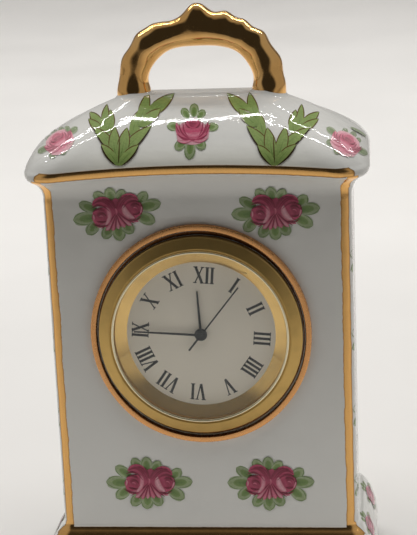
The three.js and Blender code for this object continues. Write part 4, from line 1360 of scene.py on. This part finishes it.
# each letter's serifs: x, whether at the top, and half width
LETTER_SERIFS = {
    "I": ((0.51, False, 0.43), (0.51, True, 0.43)),
    "V": ((0.42, True, 0.45), (1.85, True, 0.36)),
    "X": ((0.42, True, 0.44), (1.84, True, 0.36), (0.42, False, 0.36), (1.88, False, 0.44)),
}
NUMERALS = ("XII", "I", "II", "III", "IIII", "V", "VI", "VII", "VIII", "IX", "X", "XI")


def print_letter(bm, letter, left, height):
    """Bars and serifs of one letter, standing on zero."""
    made = []
    for x, level, end_x, end_level, lift, width, coat in LETTER_BARS[letter]:
        made += bar(bm, (left + x, level * height), (left + end_x, end_level * height + lift), width,
                    PRINT_FRONT + coat * PRINT_STEP, PRINT_BACK)
    for x, at_top, half in LETTER_SERIFS[letter]:
        y = height - SERIF / 2 if at_top else SERIF / 2
        made += bar(bm, (left + x - half, y), (left + x + half, y), SERIF,
                    PRINT_FRONT + 2 * PRINT_STEP, PRINT_BACK)
    return made


class CLOCK_OT_numerals(bpy.types.Operator):
    """Prints the Roman numerals round the dial, feet to the centre"""
    bl_idname = "clock.numerals"
    bl_label = "Dial numerals"

    def execute(self, context):
        scene = context.scene
        height = scene.clock_insert.numeral_height / MM
        radius = scene.clock_insert.numeral_radius / MM
        bm = bmesh.new()
        for hour, numeral in enumerate(NUMERALS):
            spacing = 0.9 if len(numeral) > 3 else 1.0
            left = -sum(LETTER_WIDTHS[letter] for letter in numeral) * spacing / 2
            made = []
            for letter in numeral:
                made += print_letter(bm, letter, left, height)
                left += LETTER_WIDTHS[letter] * spacing
            turn = Matrix.Rotation(-hour * math.pi / 6, 4, "Z")
            place = turn @ Matrix.Translation((0, radius - height / 2, DIAL_LEVEL))
            bmesh.ops.transform(bm, matrix=place, verts=made)
        bm.transform(insert_matrix(scene) @ Matrix.Scale(MM, 4))
        add_piece("dial_numerals", bm, "insert", "black", plain_material(*INK))
        return {"FINISHED"}


class CLOCK_OT_carried_pieces(bpy.types.Operator):
    """Finishes the hands, the glass and the movement's own pieces"""
    bl_idname = "clock.carried_pieces"
    bl_label = "Hands and movement"

    def execute(self, context):
        looks = {slot: plain_material(*finish) for slot, finish in FINISHES.items()}
        looks["brass"] = brass_material(context.scene, *MOVEMENT_BRASS)
        looks["glass"] = glass_material()
        for entry in frame["record"]["subparts"]:
            if entry["material_slot"] in looks:
                dress(nodes_of_clock[entry["node"]].data, looks[entry["material_slot"]])
        return {"FINISHED"}


# the second hand in millimetres: its turn in degrees, its levels, lengths and widths, and its hub's two discs
SECOND_TURN = 38.4
SECOND_FRONT = 0.88
SECOND_BACK = 0.72
SECOND_LENGTH = 12.8
SECOND_WIDTH = 0.3
TAIL_LENGTH = 3.95
TAIL_WIDTH = 0.38
HUB_DISCS = ((0.8, 0.6, 0.94), (0.42, 0.9, 1.06))
HUB_TAPER = 0.92


class CLOCK_OT_second_hand(bpy.types.Operator):
    """Models the second hand with its counterweight tail and closed hub"""
    bl_idname = "clock.second_hand"
    bl_label = "Second hand"

    def execute(self, context):
        angle = math.radians(SECOND_TURN)
        along = Vector((math.sin(angle), math.cos(angle)))
        bm = bmesh.new()
        bar(bm, (0, 0), along * SECOND_LENGTH, SECOND_WIDTH, SECOND_FRONT, SECOND_BACK)
        bar(bm, along * -TAIL_LENGTH, (0, 0), TAIL_WIDTH, SECOND_FRONT, SECOND_BACK)
        for radius, low, high in HUB_DISCS:
            hub = bmesh.ops.create_cone(
                bm, cap_ends=True, segments=40, radius1=radius, radius2=radius * HUB_TAPER, depth=high - low)
            bmesh.ops.translate(bm, verts=hub["verts"], vec=(0, 0, (low + high) / 2))
        bm.transform(dial_matrix(context.scene) @ Matrix.Scale(MM, 4))
        black = bpy.data.materials["satin_black"]
        add_piece("sweep_second_hand", bm, "second", "black", black, ("second_hand",))
        return {"FINISHED"}


# Stage

# the floor's section from front to back, its bend up to the backdrop, and its height
FLOOR_PATH = ((-0.5, 0), (-0.1, 0), (0.4, 0), (1.8, 0))
SWEEP_BACK = 1.8
SWEEP_BEND = 0.8
SWEEP_TOP = 2.6
SWEEP_HALF = 3.0
SWEEP_COLUMNS = 4
SWEEP_ROWS = 17
BELOW_CLOCK = 0.00002
# lamps: name, place, aim, width, depth, power, and whether the glaze mirrors them
LAMPS = (
    ("near_tube", (0.0, 0.33, 1.10), (0.0, 0.33, 0), 2.2, 0.014, 7.4, True),
    ("far_tube", (0.0, 0.75, 1.10), (0.0, 0.75, 0), 2.2, 0.014, 4.8, True),
    ("front_fill", (0.0, -0.20, 1.15), (0.0, 0.0, 0.05), 0.9, 0.4, 4.1, False),
    ("floor_bounce", (0.0, -0.045, 0.0006), (0.0, -0.045, 1.0), 0.2, 0.034, 0.015, False))
# the dark part of the room is in front of the clock and above it
DARK_WAY = (0.0, -0.848, 0.53)
ROOM_TINT = (1.0, 0.985, 0.96, 1.0)


def sweep_material(stage):
    """A pale matt sweep, painted darker towards the front as painted shade."""
    material = plain_material("pale_sweep", stage.floor, 0.5, 0.7, 0.0, 0.01, 0.02, 0.0)
    y = axes_of(millimetres(material))[1]
    # painted shade: the floor's colour falls to less than half at the front edge and dips a little near the
    # clock
    near = ranged(y, -320.0, 20.0, 0.0, 0.76) + ranged(y, 20.0, 300.0, 0.0, 0.24)
    tone = blended(near, rgba(stage.floor, 0.42), tone_of(material))
    plug(principled(material), {"Base Color": tone})
    return material


def sweep_point(column, row):
    """A vertex of the floor and of the backdrop that it bends up to."""
    if row < len(FLOOR_PATH):
        y, z = FLOOR_PATH[row]
    elif row == SWEEP_ROWS:
        y, z = SWEEP_BACK + SWEEP_BEND, SWEEP_TOP
    else:
        flat = len(FLOOR_PATH)
        angle = (row - flat + 1) / (SWEEP_ROWS - flat) * math.pi / 2
        y, z = SWEEP_BACK + SWEEP_BEND * math.sin(angle), SWEEP_BEND * (1 - math.cos(angle))
    return Vector((lerp(-SWEEP_HALF, SWEEP_HALF, column / SWEEP_COLUMNS), y, z - BELOW_CLOCK))


def add_lamp(scene, name, place, target, wide, deep, power, mirrored):
    lamp = bpy.data.lights.new(name, "AREA")
    lamp.shape = "RECTANGLE"
    lamp.size = wide
    lamp.size_y = deep
    lamp.energy = power
    holder = bpy.data.objects.new(name, lamp)
    holder.location = place
    holder.rotation_euler = (Vector(target) - Vector(place)).to_track_quat("-Z", "Y").to_euler()
    holder.visible_glossy = mirrored
    holder.visible_camera = False
    scene.collection.objects.link(holder)


def add_room(scene):
    """A softly lit room with a dark part in front and a paler ceiling."""
    world = bpy.data.worlds.new("room")
    world.use_nodes = True
    tree = world.node_tree
    way = add_node(tree, "ShaderNodeTexCoord", {}, "Generated")
    dark = grown("ShaderNodeVectorMath", {0: way, 1: DARK_WAY}, "Value", operation="DOT_PRODUCT")
    ceiling = ranged(axes_of(way)[2], 0.87, 0.96, 0.02, 0.22)
    level = calc("MAXIMUM", ranged(dark, 0.6, 0.75, 0.36, 0.03), ceiling)
    background = next(node for node in tree.nodes if node.type == "BACKGROUND")
    plug(background, {"Color": ROOM_TINT, "Strength": level})
    scene.world = world


def add_camera(scene):
    stage = scene.clock_stage
    lens = bpy.data.cameras.new("photo_camera")
    lens.sensor_fit = "VERTICAL"
    lens.sensor_height = SENSOR
    lens.lens = stage.lens
    lens.clip_start = 0.01
    holder = bpy.data.objects.new("photo_camera", lens)
    turn = Matrix((CAMERA_RIGHT, CAMERA_UP, -Vector(CAMERA_FORWARD))).transposed()
    holder.matrix_world = Matrix.Translation(stage.camera_place) @ turn.to_4x4()
    scene.collection.objects.link(holder)
    scene.camera = holder


class CLOCK_OT_stage(bpy.types.Operator):
    """Sets the pale floor and sweep, the soft lights, the room and the camera"""
    bl_idname = "clock.stage"
    bl_label = "Studio"

    def execute(self, context):
        scene = context.scene
        bm = bmesh.new()
        wrapped(bm, SWEEP_COLUMNS, SWEEP_ROWS, sweep_point, closed=False)
        mesh = mesh_of("sweep", bm)
        mesh.polygons.foreach_set("use_smooth", [True] * len(mesh.polygons))
        dress(mesh, sweep_material(scene.clock_stage))
        ground = bpy.data.objects.new("sweep", mesh)
        scene.collection.objects.link(ground)
        for lamp in LAMPS:
            add_lamp(scene, *lamp)
        add_room(scene)
        add_camera(scene)
        scene.view_settings.view_transform = "Standard"
        return {"FINISHED"}


class CLOCK_PT_panel(bpy.types.Panel):
    """Lists the clock's operators"""
    bl_label = "Porcelain Table Clock"
    bl_idname = "CLOCK_PT_panel"
    bl_space_type = "VIEW_3D"
    bl_region_type = "UI"
    bl_category = "Clock"

    def draw(self, context):
        for operator in OPERATORS:
            self.layout.operator(operator.bl_idname)


SETTINGS = {
    "clock_case": CaseSettings,
    "clock_handle": HandleSettings,
    "clock_insert": InsertSettings,
    "clock_paint": PaintSettings,
    "clock_stage": StageSettings,
}
OPERATORS = (
    CLOCK_OT_stage, CLOCK_OT_case, CLOCK_OT_dial_ring, CLOCK_OT_handle, CLOCK_OT_handle_feet,
    CLOCK_OT_front_sprays, CLOCK_OT_roof_painting, CLOCK_OT_side_sprays, CLOCK_OT_insert, CLOCK_OT_numerals,
    CLOCK_OT_carried_pieces, CLOCK_OT_second_hand)


def register():
    for name, group in SETTINGS.items():
        bpy.utils.register_class(group)
        setattr(bpy.types.Scene, name, PointerProperty(type=group))
    for operator in OPERATORS:
        bpy.utils.register_class(operator)
    bpy.utils.register_class(CLOCK_PT_panel)


def unregister():
    bpy.utils.unregister_class(CLOCK_PT_panel)
    for operator in reversed(OPERATORS):
        bpy.utils.unregister_class(operator)
    for name, group in reversed(list(SETTINGS.items())):
        delattr(bpy.types.Scene, name)
        bpy.utils.unregister_class(group)


def main():
    register()
    for operator in OPERATORS:
        group, name = operator.bl_idname.split(".")
        getattr(getattr(bpy.ops, group), name)()


if __name__ == "__main__":
    main()
